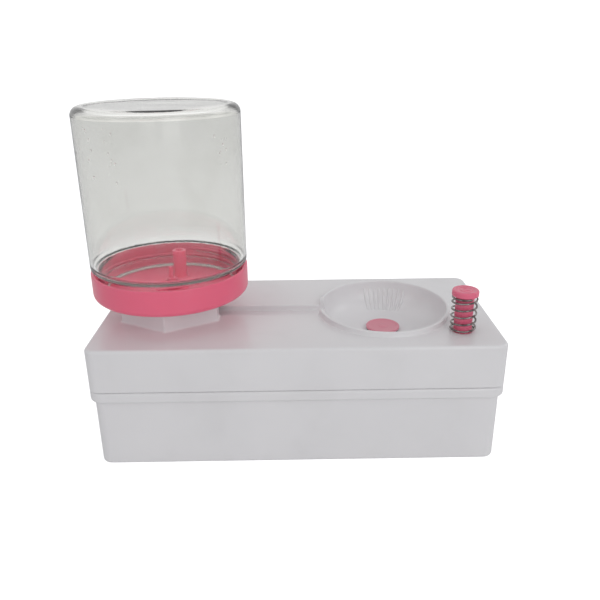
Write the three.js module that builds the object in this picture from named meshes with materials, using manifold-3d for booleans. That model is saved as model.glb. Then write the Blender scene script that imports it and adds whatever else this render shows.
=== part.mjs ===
// Paint brush rinser. An inverted water jar stands on a hexagonal seat and keeps a wash basin full
// through an open channel. A sprung push button rocks a lever under the basin, the lever lifts the
// drain plug, and the dirty water falls into the tub below.
// Millimetres, +Z up. The origin is the centre of the tub's underside; +X runs towards the button
// and +Y to the back.
import * as THREE from "three";
import { mergeVertices } from "three/addons/utils/BufferGeometryUtils.js";
import Module from "manifold-3d";

// ---- Casing ----
const LENGTH = 260; // cover, outside, along X
const WIDTH = 124; // cover, outside, along Y
const TOP_Z = 82; // upper face of the cover
const SEAM_Z = 53; // upper face of the tub's rim bead
const WALL = 2;
const CORNER = 7; // corner radius of the cover in plan
const TOP_FILLET = 2;
const FIT_GAP = 0.3; // gap between pieces that rest on each other
const TUB_INSET = 2; // tub wall inside the cover's outside face
const TUB_FLOOR = 2.2;
const BEAD_HEIGHT = 7;
const BEAD_PROUD = 0.6; // rim bead beyond the cover's outside face
const UPSTAND = 5; // tub lip that stands up inside the cover

// ---- Jar seat and channel ----
const JAR_X = -84;
const HEX_RADIUS = 36.6; // corner to centre, corners towards +Y and -Y
const HEX_WALL = 2.4;
const HEX_TOP = 98;
const WELL_FLOOR = 76;
const CHANNEL_HALF = 8;
const CHANNEL_FLOOR = 78;
const CHANNEL_WINDOW_TOP = 88; // top of the opening through the hexagon's wall
const SEAT_PIN = { radius: 1.8, top: 80 };

// ---- Basin and drain ----
const BASIN = { x: 60, y: -3 };
const RIM_RADIUS = 45.2; // foot of the raised rim
const RIM_CREST = 88.3; // at the back
const RIM_FRONT_SHARE = 0.5; // height of the rim at the front, as a share of its height at the back
const BOWL_RADIUS = 42.2; // inner face below the crest
const RIM_ROUND = 1.2; // radius of the crest
const BOWL_FLOOR = 68;
const FLOOR_RADIUS = 20;
const DRAIN_RADIUS = 8.5;
const COLLAR_RADIUS = 10.5;
const GUIDE_BOTTOM = 65;
const RIBS = { count: 9, step: 5, middle: 82, width: 1.3, height: 1.1 }; // step and middle in degrees

// ---- Plug, lever and button ----
const PLUG = { radius: 11.5, top: 71, under: 69.2, stem: 2.2, hub: 5, tip: 56, nib: 4 };
const LEVER_RUN = 57.5; // plug axis to button axis
const LEVER_TURN = Math.atan2(-0.6, 0.8); // direction of the lever from the plug to the button
const PLUG_ARM = 23; // pivot to plug axis
const BUTTON_ARM = LEVER_RUN - PLUG_ARM;
const PIVOT_Z = 52.7;
const LEVER = { half: 4, under: -1.5, top: 3, pad: 5, boss: 4.2 }; // heights from the pivot
const PIN_RADIUS = 1.5;
const EAR = { inner: 4.4, outer: 6.9, radius: 4 };
const PLATE = { bottom: 58.6, top: 60.6, halfRun: 7, halfWidth: 18, screws: 14 };
const SCREW = { shank: 1.4, head: 3, height: 2, end: 66.2 };
const SCREW_BOSS = { radius: 3.6, bore: 1.7, top: 67.2, boreTop: 66.8 };
const PIN = { head: 2.6, reach: 9.2, clip: 7.3, thickness: 0.6, groove: 1 };
const PLUG_CLIP = { z: 57.4, thickness: 0.7, groove: 1.6, outer: 4 };
const BUTTON = { shaft: 5.8, head: 8.35, headUnder: 106, top: 109.7, tip: 56, tipRadius: 4 };
const SLEEVE = { outer: 8.2, inner: 6.1, bottom: 66 };
const CLIP = { z: 64.6, thickness: 1, groove: 4.6, outer: 8 };
const SPRING = { outer: 8.25, wire: 0.6, turns: 5.8, endTurns: 0.75, sides: 5, steps: 13 };

// ---- Jar and screw cap, heights from the cap's underside ----
const CAP_Z = HEX_TOP + FIT_GAP;
const CAP = { radius: 51.5, wall: 2, height: 17.5, floor: 2.2, edge: 4 };
const THREAD = { pitch: 4.5, turns: 1.25, jarStart: 7, capStart: 8.9, jarCrest: 48.7, capCrest: 48.4 };
const SPOUT = { outer: 8.2, inner: 6.3, bottom: -17.8, seat: 1.5, hole: 3.5 };
const AIR_TUBE = { x: 3.5, y: 17, outer: 4.5, inner: 2.6, top: 22.9, flange: 6.2 };
const JAR = { radius: 51.3, neck: 47.2, wall: 1.6, base: 2.6, heel: 5.5 };
const JAR_MOUTH = 3.9;
const NECK_TOP = 18.6; // where the neck ends and the shoulder begins
const SHOULDER_TOP = 26;
const JAR_TOP = 121.7;
const GASKET = { inner: 43.5, outer: 47, bottom: 2.5, top: 3.6 };
const VALVE_LIFT = 3; // how far the seat pin holds the valve open
const VALVE = { nose: 1.8, rod: 1.5, flange: 4.6, flangeHeight: 1.2, seal: 5.4, sealTop: -11.4, top: 16.7 };
const VALVE_SPRING = { outer: 4.5, wire: 0.4, turns: 6.5, endTurns: 0.75, sides: 4, steps: 10 };
const GUIDE = { ring: 6, wall: 1.1, flange: 7.8, hub: 2.8, bottom: -1, top: 9 };
const ROUND = 36; // facets of a large circle
const SMALL_ROUND = 18;

const wasm = await Module();
wasm.setup();

// ---- Solids from three.js geometry ----

// A closed geometry as a solid with its faces pointing out.
function solid(geometry) {
  const bare = geometry.clone();
  bare.deleteAttribute("normal");
  bare.deleteAttribute("uv");
  const merged = mergeVertices(bare, 1e-4);
  const vertProperties = merged.attributes.position.array;
  const triVerts = new Uint32Array(merged.index.array);
  const made = new wasm.Manifold(new wasm.Mesh({ numProp: 3, vertProperties, triVerts }));
  if (made.volume() > 0) return made;
  for (let i = 0; i < triVerts.length; i += 3) {
    [triVerts[i + 1], triVerts[i + 2]] = [triVerts[i + 2], triVerts[i + 1]];
  }
  return new wasm.Manifold(new wasm.Mesh({ numProp: 3, vertProperties, triVerts }));
}

// A solid back as a geometry that a mesh can hold.
function geometryOf(made) {
  const { vertProperties, triVerts } = made.getMesh();
  return new THREE.BufferGeometry()
    .setAttribute("position", new THREE.BufferAttribute(vertProperties, 3))
    .setIndex(new THREE.BufferAttribute(triVerts, 1));
}

// A shape in the XY plane raised from z0 to z1.
function raise(shape, z0, z1, curveSegments = 6) {
  const options = { depth: z1 - z0, bevelEnabled: false, curveSegments };
  return solid(new THREE.ExtrudeGeometry(shape, options).translate(0, 0, z0));
}

// A rectangle with round corners, centred on the origin.
function roundedRectangle(halfX, halfY, radius) {
  const shape = new THREE.Shape();
  shape.moveTo(halfX, -halfY + radius);
  shape.absarc(halfX - radius, halfY - radius, radius, 0, Math.PI / 2);
  shape.absarc(-halfX + radius, halfY - radius, radius, Math.PI / 2, Math.PI);
  shape.absarc(-halfX + radius, -halfY + radius, radius, Math.PI, 1.5 * Math.PI);
  shape.absarc(halfX - radius, -halfY + radius, radius, 1.5 * Math.PI, 2 * Math.PI);
  return shape;
}

// A rounded block whose upper and lower edges carry a fillet.
function filletedBlock(halfX, halfY, radius, z0, z1, fillet) {
  const inner = roundedRectangle(halfX - fillet, halfY - fillet, radius - fillet);
  const geometry = new THREE.ExtrudeGeometry(inner, {
    depth: z1 - z0 - 2 * fillet,
    bevelThickness: fillet,
    bevelSize: fillet,
    bevelSegments: 2,
    curveSegments: 3,
  });
  return solid(geometry.translate(0, 0, z0 + fillet));
}

// A closed outline of [radius, z] points turned about the Z axis through x, y.
function turned(outline, segments = ROUND, x = 0, y = 0) {
  const points = outline.map(([r, z]) => new THREE.Vector2(r, z));
  const onAxis = points[0].x === 0 && points.at(-1).x === 0;
  if (!onAxis) points.push(points[0].clone());
  return solid(new THREE.LatheGeometry(points, segments).rotateX(Math.PI / 2).translate(x, y, 0));
}

// The section of a flat ring.
function washer(inner, outer, z0, z1) {
  return [
    [inner, z0],
    [outer, z0],
    [outer, z1],
    [inner, z1],
  ];
}

function cylinder(radius, z0, z1, x = 0, y = 0, segments = SMALL_ROUND) {
  const geometry = new THREE.CylinderGeometry(radius, radius, z1 - z0, segments);
  return solid(geometry.rotateX(Math.PI / 2).translate(x, y, (z0 + z1) / 2));
}

function box(x0, x1, y0, y1, z0, z1) {
  const geometry = new THREE.BoxGeometry(x1 - x0, y1 - y0, z1 - z0);
  return solid(geometry.translate((x0 + x1) / 2, (y0 + y1) / 2, (z0 + z1) / 2));
}

// Points [radius, z] along a curve, its ends included.
function along(curve, steps) {
  return curve.getPoints(steps).map((p) => [p.x, p.y]);
}

// An arc of [radius, z] points, from one angle to another in degrees.
function arc(r, z, radius, from, to, steps = 3) {
  return Array.from({ length: steps + 1 }, (_, i) => {
    const angle = THREE.MathUtils.degToRad(from + ((to - from) * i) / steps);
    return [r + radius * Math.cos(angle), z + radius * Math.sin(angle)];
  });
}

// A helix about the Z axis. climb(turn) is its height after that many turns.
class Helix extends THREE.Curve {
  constructor(radius, turns, climb) {
    super();
    Object.assign(this, { radius, turns, climb });
  }
  getPoint(t, target = new THREE.Vector3()) {
    const angle = t * this.turns * 2 * Math.PI;
    const height = this.climb(t * this.turns);
    return target.set(this.radius * Math.cos(angle), this.radius * Math.sin(angle), height);
  }
}

// A section swept along a helix. In the section, x points at the axis and y points up.
function sweep(section, helix, stepsPerTurn) {
  const steps = Math.round(helix.turns * stepsPerTurn);
  return solid(new THREE.ExtrudeGeometry(section, { steps, extrudePath: helix, bevelEnabled: false }));
}

function roundWire(radius, sides) {
  const points = Array.from({ length: sides }, (_, i) => {
    const angle = (2 * Math.PI * i) / sides;
    return new THREE.Vector2(radius * Math.cos(angle), radius * Math.sin(angle));
  });
  return new THREE.Shape(points);
}

// ---- Casing ----

function makeTub() {
  const halfX = LENGTH / 2 - TUB_INSET;
  const halfY = WIDTH / 2 - TUB_INSET;
  const body = filletedBlock(halfX, halfY, CORNER, 0, SEAM_Z, TOP_FILLET);
  const beadShape = [LENGTH / 2 + BEAD_PROUD, WIDTH / 2 + BEAD_PROUD, CORNER + BEAD_PROUD];
  const bead = filletedBlock(...beadShape, SEAM_Z - BEAD_HEIGHT, SEAM_Z, 1.6);
  const lipGap = WALL + 0.5 - TUB_INSET;
  const lip = raise(roundedRectangle(halfX - lipGap, halfY - lipGap, CORNER - 1), 40, SEAM_Z + UPSTAND);
  const hollowShape = roundedRectangle(halfX - WALL, halfY - WALL, CORNER - WALL);
  const hollow = raise(hollowShape, TUB_FLOOR, SEAM_Z + UPSTAND + 1);
  return body.add(bead).add(lip).subtract(hollow);
}

// The bowl's inner face from the flat floor up to the rim.
const bowlFace = new THREE.CubicBezierCurve(
  new THREE.Vector2(FLOOR_RADIUS, BOWL_FLOOR),
  new THREE.Vector2(34, BOWL_FLOOR),
  new THREE.Vector2(BOWL_RADIUS, 74),
  new THREE.Vector2(BOWL_RADIUS, RIM_CREST - 1),
);

// The bowl's under face, one wall thickness outside the inner face.
const bowlUnderside = new THREE.CubicBezierCurve(
  new THREE.Vector2(45, TOP_Z - WALL),
  new THREE.Vector2(45, 72.5),
  new THREE.Vector2(35.2, BOWL_FLOOR - WALL),
  new THREE.Vector2(FLOOR_RADIUS, BOWL_FLOOR - WALL),
);

// Lowers the rim evenly from its full height at the back to its share at the front.
function tiltRim(vertex) {
  const aboveDeck = vertex[2] - TOP_Z;
  if (aboveDeck <= 0) return;
  const towardsBack = (vertex[1] - BASIN.y) / RIM_RADIUS;
  const share = (1 + RIM_FRONT_SHARE + (1 - RIM_FRONT_SHARE) * towardsBack) / 2;
  vertex[2] = TOP_Z + aboveDeck * Math.min(share, 1);
}

function makeBowl() {
  const bowl = turned(
    [
      [DRAIN_RADIUS, BOWL_FLOOR],
      ...along(bowlFace, 5),
      ...arc(BOWL_RADIUS + RIM_ROUND, RIM_CREST - RIM_ROUND, RIM_ROUND, 150, 20, 3),
      [RIM_RADIUS, TOP_Z],
      ...along(bowlUnderside, 4),
      [COLLAR_RADIUS, BOWL_FLOOR - WALL],
      [COLLAR_RADIUS, GUIDE_BOTTOM],
      [DRAIN_RADIUS, GUIDE_BOTTOM],
    ],
    ROUND,
    BASIN.x,
    BASIN.y,
  );
  return bowl.warp(tiltRim);
}

// Three spokes and a ring across the drain, which guide the plug's stem.
function makeStemGuide() {
  const top = BOWL_FLOOR - WALL + 0.4;
  let guide = cylinder(PLUG.stem + 2, GUIDE_BOTTOM, top);
  for (const turn of [90, 210, 330]) {
    const spoke = box(0, DRAIN_RADIUS + 1, -0.9, 0.9, GUIDE_BOTTOM, top);
    guide = guide.add(spoke.rotate([0, 0, turn]));
  }
  const bore = cylinder(PLUG.stem + 0.3, GUIDE_BOTTOM - 1, top + 1);
  return guide.subtract(bore).translate([BASIN.x, BASIN.y, 0]);
}

// Upright ribs on the back of the bowl, for working a brush against.
function makeRibs() {
  const face = along(bowlFace, 6).slice(2, 6);
  const outline = [
    ...face.map(([r, z]) => new THREE.Vector2(r + 0.5, z - 0.3)),
    ...[...face].reverse().map(([r, z]) => new THREE.Vector2(r - 0.8 * RIBS.height, z + 0.6 * RIBS.height)),
  ];
  const options = { depth: RIBS.width, bevelEnabled: false };
  const plate = new THREE.ExtrudeGeometry(new THREE.Shape(outline), options);
  const rib = solid(plate.translate(0, 0, -RIBS.width / 2).rotateX(Math.PI / 2));
  const first = RIBS.middle - (RIBS.step * (RIBS.count - 1)) / 2;
  return Array.from({ length: RIBS.count }, (_, i) =>
    rib.rotate([0, 0, first + i * RIBS.step]).translate([BASIN.x, BASIN.y, 0]),
  );
}

function hexagon(radius) {
  const corners = Array.from({ length: 6 }, (_, i) => {
    const angle = THREE.MathUtils.degToRad(-90 + 60 * i);
    return new THREE.Vector2(radius * Math.cos(angle), radius * Math.sin(angle));
  });
  return new THREE.Shape(corners);
}

// Where the lever's pivot, the button and the bracket's screws come, in the part's frame.
const leverWay = new THREE.Vector2(Math.cos(LEVER_TURN), Math.sin(LEVER_TURN));
const pivot = { x: BASIN.x + PLUG_ARM * leverWay.x, y: BASIN.y + PLUG_ARM * leverWay.y };
const button = { x: BASIN.x + LEVER_RUN * leverWay.x, y: BASIN.y + LEVER_RUN * leverWay.y };
const screwSpots = [-PLATE.screws, PLATE.screws].map((across) => ({
  x: pivot.x - across * leverWay.y,
  y: pivot.y + across * leverWay.x,
}));

function makeCover() {
  const block = filletedBlock(LENGTH / 2, WIDTH / 2, CORNER, SEAM_Z - 10, TOP_Z, TOP_FILLET);
  const below = box(-LENGTH, LENGTH, -WIDTH, WIDTH, 0, SEAM_Z + FIT_GAP);
  const insideShape = roundedRectangle(LENGTH / 2 - WALL, WIDTH / 2 - WALL, CORNER - WALL);
  const basinHole = cylinder(RIM_RADIUS - 2, 0, TOP_Z + 1, BASIN.x, BASIN.y, ROUND);
  const cuts = [below, raise(insideShape, 0, TOP_Z - WALL), basinHole];
  let cover = cuts.reduce((made, cut) => made.subtract(cut), block);

  const seatFace = JAR_X + HEX_RADIUS * Math.cos(Math.PI / 6); // the hexagon's side towards the basin
  const basinEdge = BASIN.x - RIM_RADIUS;
  const wellRadius = HEX_RADIUS - HEX_WALL / Math.cos(Math.PI / 6);
  const troughHalf = CHANNEL_HALF + WALL;
  const additions = [
    raise(hexagon(HEX_RADIUS), WELL_FLOOR - WALL, HEX_TOP).translate([JAR_X, 0, 0]),
    box(seatFace - 4, basinEdge + 3, -troughHalf, troughHalf, CHANNEL_FLOOR - WALL, TOP_Z),
    makeBowl(),
    ...makeRibs(),
    makeStemGuide(),
    cylinder(SLEEVE.outer, SLEEVE.bottom, TOP_Z - 1, button.x, button.y),
    ...screwSpots.map((at) => {
      return cylinder(SCREW_BOSS.radius, PLATE.top + FIT_GAP, SCREW_BOSS.top, at.x, at.y);
    }),
  ];
  cover = additions.reduce((made, piece) => made.add(piece), cover);

  const half = CHANNEL_HALF;
  const openings = [
    raise(hexagon(wellRadius), WELL_FLOOR, HEX_TOP + 1).translate([JAR_X, 0, 0]),
    box(seatFace - 1, basinEdge + 2, -half, half, CHANNEL_FLOOR, TOP_Z + 1),
    box(seatFace - 5, seatFace + 1, -half, half, CHANNEL_FLOOR, CHANNEL_WINDOW_TOP),
    box(basinEdge - 1, basinEdge + 8, -half, half, CHANNEL_FLOOR, RIM_CREST + 1),
    cylinder(SLEEVE.inner, SLEEVE.bottom - 1, TOP_Z + 1, button.x, button.y),
    ...screwSpots.map((at) => {
      return cylinder(SCREW_BOSS.bore, PLATE.top, SCREW_BOSS.boreTop, at.x, at.y, 12);
    }),
  ];
  cover = openings.reduce((made, cut) => made.subtract(cut), cover);
  return cover.add(cylinder(SEAT_PIN.radius, WELL_FLOOR - 1, SEAT_PIN.top, JAR_X, 0, 16));
}

// ---- Drain plug ----

// A flat ring with a slot in one side, which snaps into a groove.
function openRing(inner, outer, z0, z1, slot = inner * 0.8) {
  const ring = cylinder(outer, z0, z1).subtract(cylinder(inner, z0 - 1, z1 + 1));
  return ring.subtract(box(0, outer + 1, -slot, slot, z0 - 1, z1 + 1));
}

function makePlug() {
  const { radius, top, under, stem, hub, tip, nib } = PLUG;
  const groove = [PLUG_CLIP.z - FIT_GAP, PLUG_CLIP.z + PLUG_CLIP.thickness + FIT_GAP];
  return turned(
    [
      [0, tip],
      ...arc(0, tip + nib, nib, -76, -62, 1),
      [stem, tip + 0.9],
      [stem, groove[0]],
      [PLUG_CLIP.groove, groove[0]],
      [PLUG_CLIP.groove, groove[1]],
      [stem, groove[1]],
      [stem, under - 2.4],
      [hub, under - 1.6],
      [hub, under],
      [radius, under],
      [radius, top - 0.7],
      [radius - 0.8, top],
      [0, top],
    ],
    24,
    BASIN.x,
    BASIN.y,
  );
}

function makePlugSeal() {
  const z0 = BOWL_FLOOR + FIT_GAP;
  const z1 = PLUG.under - FIT_GAP;
  return turned(washer(PLUG.hub + FIT_GAP, PLUG.radius - 0.5, z0, z1), 24, BASIN.x, BASIN.y);
}

function makePlugClip() {
  const { z, thickness, groove, outer } = PLUG_CLIP;
  return openRing(groove + FIT_GAP, outer, z, z + thickness).translate([BASIN.x, BASIN.y, 0]);
}

// ---- Lever and its bracket, made along X about the pivot and then set in place ----

const leverDegrees = THREE.MathUtils.radToDeg(LEVER_TURN);

function atPivot(made) {
  return made.rotate([0, 0, leverDegrees]).translate([pivot.x, pivot.y, PIVOT_Z]);
}

// A cylinder across the lever, its axis along Y through the pivot.
function crossCylinder(radius, y0, y1, segments = SMALL_ROUND) {
  const geometry = new THREE.CylinderGeometry(radius, radius, y1 - y0, segments);
  return solid(geometry.translate(0, (y0 + y1) / 2, 0));
}

function makeLever() {
  const { half, under, top, pad, boss } = LEVER;
  const lever = [
    cylinder(pad, under, top, -PLUG_ARM, 0),
    cylinder(pad, under, top, BUTTON_ARM, 0),
    crossCylinder(boss, -half, half),
    box(-PLUG_ARM + 3, BUTTON_ARM - 3, -1, 1, under - 2, under + 1),
  ].reduce((made, piece) => made.add(piece), box(-PLUG_ARM, BUTTON_ARM, -half, half, under, top));
  return atPivot(lever.subtract(crossCylinder(PIN_RADIUS + FIT_GAP, -half - 1, half + 1, 16)));
}

function makeBracket() {
  const { bottom, top, halfRun, halfWidth, screws } = PLATE;
  let bracket = box(-halfRun, halfRun, -halfWidth, halfWidth, bottom - PIVOT_Z, top - PIVOT_Z);
  for (const [y0, y1] of [[EAR.inner, EAR.outer], [-EAR.outer, -EAR.inner]]) {
    const ear = box(-EAR.radius, EAR.radius, y0, y1, 0, bottom - PIVOT_Z + 1);
    bracket = bracket.add(ear).add(crossCylinder(EAR.radius, y0, y1));
  }
  bracket = bracket.subtract(crossCylinder(PIN_RADIUS + FIT_GAP, -EAR.outer - 1, EAR.outer + 1, 16));
  for (const y of [-screws, screws]) {
    bracket = bracket.subtract(cylinder(SCREW.shank + FIT_GAP, 0, top, 0, y, 16));
  }
  return atPivot(bracket);
}

// A pan-head screw that holds the bracket up against a boss, its head below the plate.
function makeScrew(at) {
  const { shank, head, height, end } = SCREW;
  const z = PLATE.bottom - FIT_GAP;
  const outline = [
    [0, z - height],
    [head - 0.8, z - height],
    [head, z - height + 0.8],
    [head, z],
    [shank, z],
    [shank, end - 1],
    [0, end],
  ];
  const slotTop = z - height + 0.9;
  const slots = [box(-1.7, 1.7, -0.4, 0.4, 0, slotTop), box(-0.4, 0.4, -1.7, 1.7, 0, slotTop)];
  const screw = slots.reduce((made, slot) => made.subtract(slot), turned(outline, 18));
  return screw.translate([at.x, at.y, 0]);
}

function makePin() {
  const { head, reach, groove, clip } = PIN;
  const outline = [
    [0, -EAR.outer - FIT_GAP - 1.2],
    [head, -EAR.outer - FIT_GAP - 1.2],
    [head, -EAR.outer - FIT_GAP],
    [PIN_RADIUS, -EAR.outer - FIT_GAP],
    [PIN_RADIUS, clip - FIT_GAP],
    [groove, clip - FIT_GAP],
    [groove, clip + PIN.thickness + FIT_GAP],
    [PIN_RADIUS, clip + PIN.thickness + FIT_GAP],
    [PIN_RADIUS, reach - 0.4],
    [PIN_RADIUS - 0.4, reach],
    [0, reach],
  ];
  return atPivot(turned(outline, 16).rotate([-90, 0, 0]));
}

function makePinClip() {
  const ring = openRing(PIN.groove + FIT_GAP, PIN.head + 0.6, PIN.clip, PIN.clip + PIN.thickness);
  return atPivot(ring.rotate([-90, 0, 0]));
}

// ---- Push button ----

function makeButton() {
  const { shaft, head, headUnder, top, tip, tipRadius } = BUTTON;
  const groove = [CLIP.z - FIT_GAP, CLIP.z + CLIP.thickness + FIT_GAP];
  return turned(
    [
      [0, tip],
      ...arc(0, tip + tipRadius, tipRadius, -65, 0, 3),
      [tipRadius, tip + tipRadius + 0.6],
      [shaft, tip + tipRadius + 1.6],
      [shaft, groove[0]],
      [CLIP.groove, groove[0]],
      [CLIP.groove, groove[1]],
      [shaft, groove[1]],
      [shaft, headUnder],
      [head - 0.5, headUnder],
      [head, headUnder + 0.5],
      [head, top - 1.1],
      [head - 0.4, top - 0.4],
      [head - 1.3, top],
      [3.2, top],
      [2.2, top - 0.6],
      [0, top - 0.6],
    ],
    24,
    button.x,
    button.y,
  );
}

function makeShaftClip() {
  const { z, thickness, groove, outer } = CLIP;
  const ring = openRing(groove + FIT_GAP, outer, z, z + thickness);
  return ring.rotate([0, 0, leverDegrees]).translate([button.x, button.y, 0]);
}

// A compression spring from z0 to z1 with a flat turn at each end.
function makeSpring({ outer, wire, turns, endTurns, sides, steps }, z0, z1, x, y) {
  const endPitch = 2.25 * wire;
  const start = z0 + wire;
  const finish = z1 - wire;
  const endRise = endTurns * endPitch;
  const pitch = (finish - start - 2 * endRise) / (turns - 2 * endTurns);
  const climb = (turn) => {
    if (turn < endTurns) return start + turn * endPitch;
    if (turn > turns - endTurns) return finish - (turns - turn) * endPitch;
    return start + endRise + (turn - endTurns) * pitch;
  };
  const helix = new Helix(outer - wire, turns, climb);
  return sweep(roundWire(wire, sides), helix, steps).translate([x, y, 0]);
}

// ---- Screw cap and what it holds, made about the jar's axis from the cap's underside ----

function atJar(made) {
  return made.translate([JAR_X, 0, CAP_Z]);
}

// A thread ridge with its crest at a radius and its root on the side that depth points to.
function threadRidge(crestRadius, depth, start) {
  const section = new THREE.Shape([
    new THREE.Vector2(0, -0.35),
    new THREE.Vector2(depth, -0.75),
    new THREE.Vector2(depth, 0.75),
    new THREE.Vector2(0, 0.35),
  ]);
  const helix = new Helix(crestRadius, THREAD.turns, (turn) => start + turn * THREAD.pitch);
  return sweep(section, helix, 24);
}

function makeCap() {
  const { radius, wall, height, floor, edge } = CAP;
  const shell = turned([
    [0, 0],
    ...arc(radius - edge, edge, edge, -90, 0, 3),
    [radius, height - 0.8],
    [radius - 0.6, height],
    [radius - wall, height],
    [radius - wall, floor + 2.2],
    [radius - wall - 1.4, floor],
    [0, floor],
  ]);
  const ridge = threadRidge(THREAD.capCrest, THREAD.capCrest - radius + wall - 0.3, THREAD.capStart);
  const bore = cylinder(SPOUT.inner, SPOUT.bottom + SPOUT.seat, floor + 1);
  const outlet = cylinder(SPOUT.hole, SPOUT.bottom - 1, floor + 1);
  const airHole = cylinder(AIR_TUBE.outer + FIT_GAP, -1, floor + 1, AIR_TUBE.x, AIR_TUBE.y);
  const cap = shell.add(ridge).add(cylinder(SPOUT.outer, SPOUT.bottom, floor - 1));
  return atJar(cap.subtract(bore).subtract(outlet).subtract(airHole));
}

function makeGasket() {
  const { inner, outer, bottom, top } = GASKET;
  return atJar(turned(washer(inner, outer, bottom, top)));
}

function makeAirTube() {
  const { outer, inner, top, flange, x, y } = AIR_TUBE;
  const floor = CAP.floor + FIT_GAP;
  const outline = [
    [inner, SPOUT.bottom],
    [outer, SPOUT.bottom],
    [outer, floor],
    [flange, floor],
    [flange, floor + 1.2],
    [outer, floor + 1.8],
    [outer, top - 0.5],
    [outer - 0.5, top],
    [inner, top],
  ];
  return atJar(turned(outline, SMALL_ROUND, x, y));
}

function makeJar() {
  const { radius, neck, wall, base, heel } = JAR;
  const neckInner = neck - wall;
  const inside = radius - wall;
  const shell = turned([
    [neckInner, JAR_MOUTH],
    [neck, JAR_MOUTH],
    [neck, NECK_TOP],
    [neck + 0.5, NECK_TOP + 1.6],
    [radius - 1.1, SHOULDER_TOP - 2.6],
    [radius - 0.1, SHOULDER_TOP - 0.8],
    [radius, SHOULDER_TOP],
    ...arc(radius - heel, JAR_TOP - heel, heel, 0, 90, 3),
    [0, JAR_TOP],
    [0, JAR_TOP - base],
    ...arc(radius - heel, JAR_TOP - heel, heel - wall, 90, 0, 3),
    [inside, SHOULDER_TOP],
    [inside - 1, SHOULDER_TOP - 2.6],
    [neckInner + 0.5, NECK_TOP + 1.6],
    [neckInner, NECK_TOP],
  ]);
  return atJar(shell.add(threadRidge(THREAD.jarCrest, THREAD.jarCrest - neck + 0.4, THREAD.jarStart)));
}

// ---- Outlet valve in the cap's spout ----

function makeValveGuide() {
  const { ring, wall, flange, hub, bottom, top } = GUIDE;
  const floor = CAP.floor + FIT_GAP;
  const outline = [
    [ring - wall, bottom],
    [ring, bottom],
    [ring, floor],
    [flange, floor],
    [flange, floor + 1],
    [ring - wall, floor + 1],
  ];
  let guide = turned(outline, SMALL_ROUND).add(cylinder(hub, bottom, top));
  for (const turn of [30, 150, 270]) {
    guide = guide.add(box(0, ring - wall / 2, -0.7, 0.7, bottom, bottom + 1.6).rotate([0, 0, turn]));
  }
  return atJar(guide.subtract(cylinder(VALVE.rod + FIT_GAP, bottom - 1, top + 1, 0, 0, 16)));
}

function makeValveStem() {
  const { nose, rod, flange, sealTop, flangeHeight, top } = VALVE;
  const tip = SEAT_PIN.top + FIT_GAP - CAP_Z;
  const flangeBottom = sealTop + FIT_GAP;
  const outline = [
    [0, tip],
    [nose - 0.5, tip],
    [nose, tip + 0.5],
    [nose, flangeBottom],
    [flange, flangeBottom],
    [flange, flangeBottom + flangeHeight],
    [rod, flangeBottom + flangeHeight + 0.6],
    [rod, top - 0.5],
    [rod - 0.5, top],
    [0, top],
  ];
  return atJar(turned(outline, 16));
}

function makeValveSeal() {
  const bottom = SPOUT.bottom + SPOUT.seat + FIT_GAP + VALVE_LIFT;
  const inner = VALVE.nose + FIT_GAP;
  return atJar(turned(washer(inner, VALVE.seal, bottom, VALVE.sealTop), 20));
}

function makeValveSpring() {
  const z0 = VALVE.sealTop + VALVE.flangeHeight + 2 * FIT_GAP;
  return atJar(makeSpring(VALVE_SPRING, z0, GUIDE.bottom - FIT_GAP, 0, 0));
}

// ---- Colours and the finished group ----

const PLASTIC_WHITE = [0xdcdbe0, 0.32, 0];
const PLASTIC_PINK = [0xe0708f, 0.3, 0];
const CLEAR = [0xe8eef0, 0.08, 0];
const RUBBER_WHITE = [0xe6e4de, 0.75, 0];
const RUBBER_GREY = [0x77787c, 0.8, 0];
const NYLON = [0xefeee9, 0.5, 0];
const STEEL = [0xb9bcc0, 0.3, 1];

const pieces = {
  waste_tub: [makeTub(), PLASTIC_WHITE],
  top_cover: [makeCover(), PLASTIC_WHITE],
  jar: [makeJar(), CLEAR],
  screw_cap: [makeCap(), PLASTIC_PINK],
  cap_gasket: [makeGasket(), RUBBER_WHITE],
  air_tube: [makeAirTube(), PLASTIC_PINK],
  valve_guide: [makeValveGuide(), PLASTIC_PINK],
  valve_stem: [makeValveStem(), PLASTIC_PINK],
  valve_seal: [makeValveSeal(), RUBBER_GREY],
  valve_spring: [makeValveSpring(), STEEL],
  drain_plug: [makePlug(), PLASTIC_PINK],
  plug_seal: [makePlugSeal(), RUBBER_GREY],
  plug_clip: [makePlugClip(), STEEL],
  rocker_lever: [makeLever(), NYLON],
  lever_bracket: [makeBracket(), NYLON],
  bracket_screw_left: [makeScrew(screwSpots[0]), STEEL],
  bracket_screw_right: [makeScrew(screwSpots[1]), STEEL],
  lever_pin: [makePin(), STEEL],
  pin_clip: [makePinClip(), STEEL],
  push_button: [makeButton(), PLASTIC_PINK],
  button_spring: [
    makeSpring(SPRING, TOP_Z + FIT_GAP, BUTTON.headUnder - FIT_GAP, button.x, button.y),
    STEEL,
  ],
  shaft_clip: [makeShaftClip(), STEEL],
};

const rinser = new THREE.Group();
rinser.name = "brush_rinser";
for (const [name, [made, [color, roughness, metalness]]] of Object.entries(pieces)) {
  const material = new THREE.MeshStandardMaterial({ color, roughness, metalness });
  const mesh = new THREE.Mesh(geometryOf(made), material);
  mesh.name = name;
  rinser.add(mesh);
}

export default rinser;
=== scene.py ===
"""A paint brush rinser: a water jar on a seat, a wash basin and a sprung button that drains it.

Shapes are built in millimetres in the part's frame and turned to metres as each piece is finished.
+X runs towards the button, +Y to the back, +Z up.
"""

from __future__ import annotations

import logging
import math
from dataclasses import dataclass
from enum import Enum
from typing import Any, Callable, Iterable, Sequence

import bmesh
import bpy
from mathutils import Matrix, Vector


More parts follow.
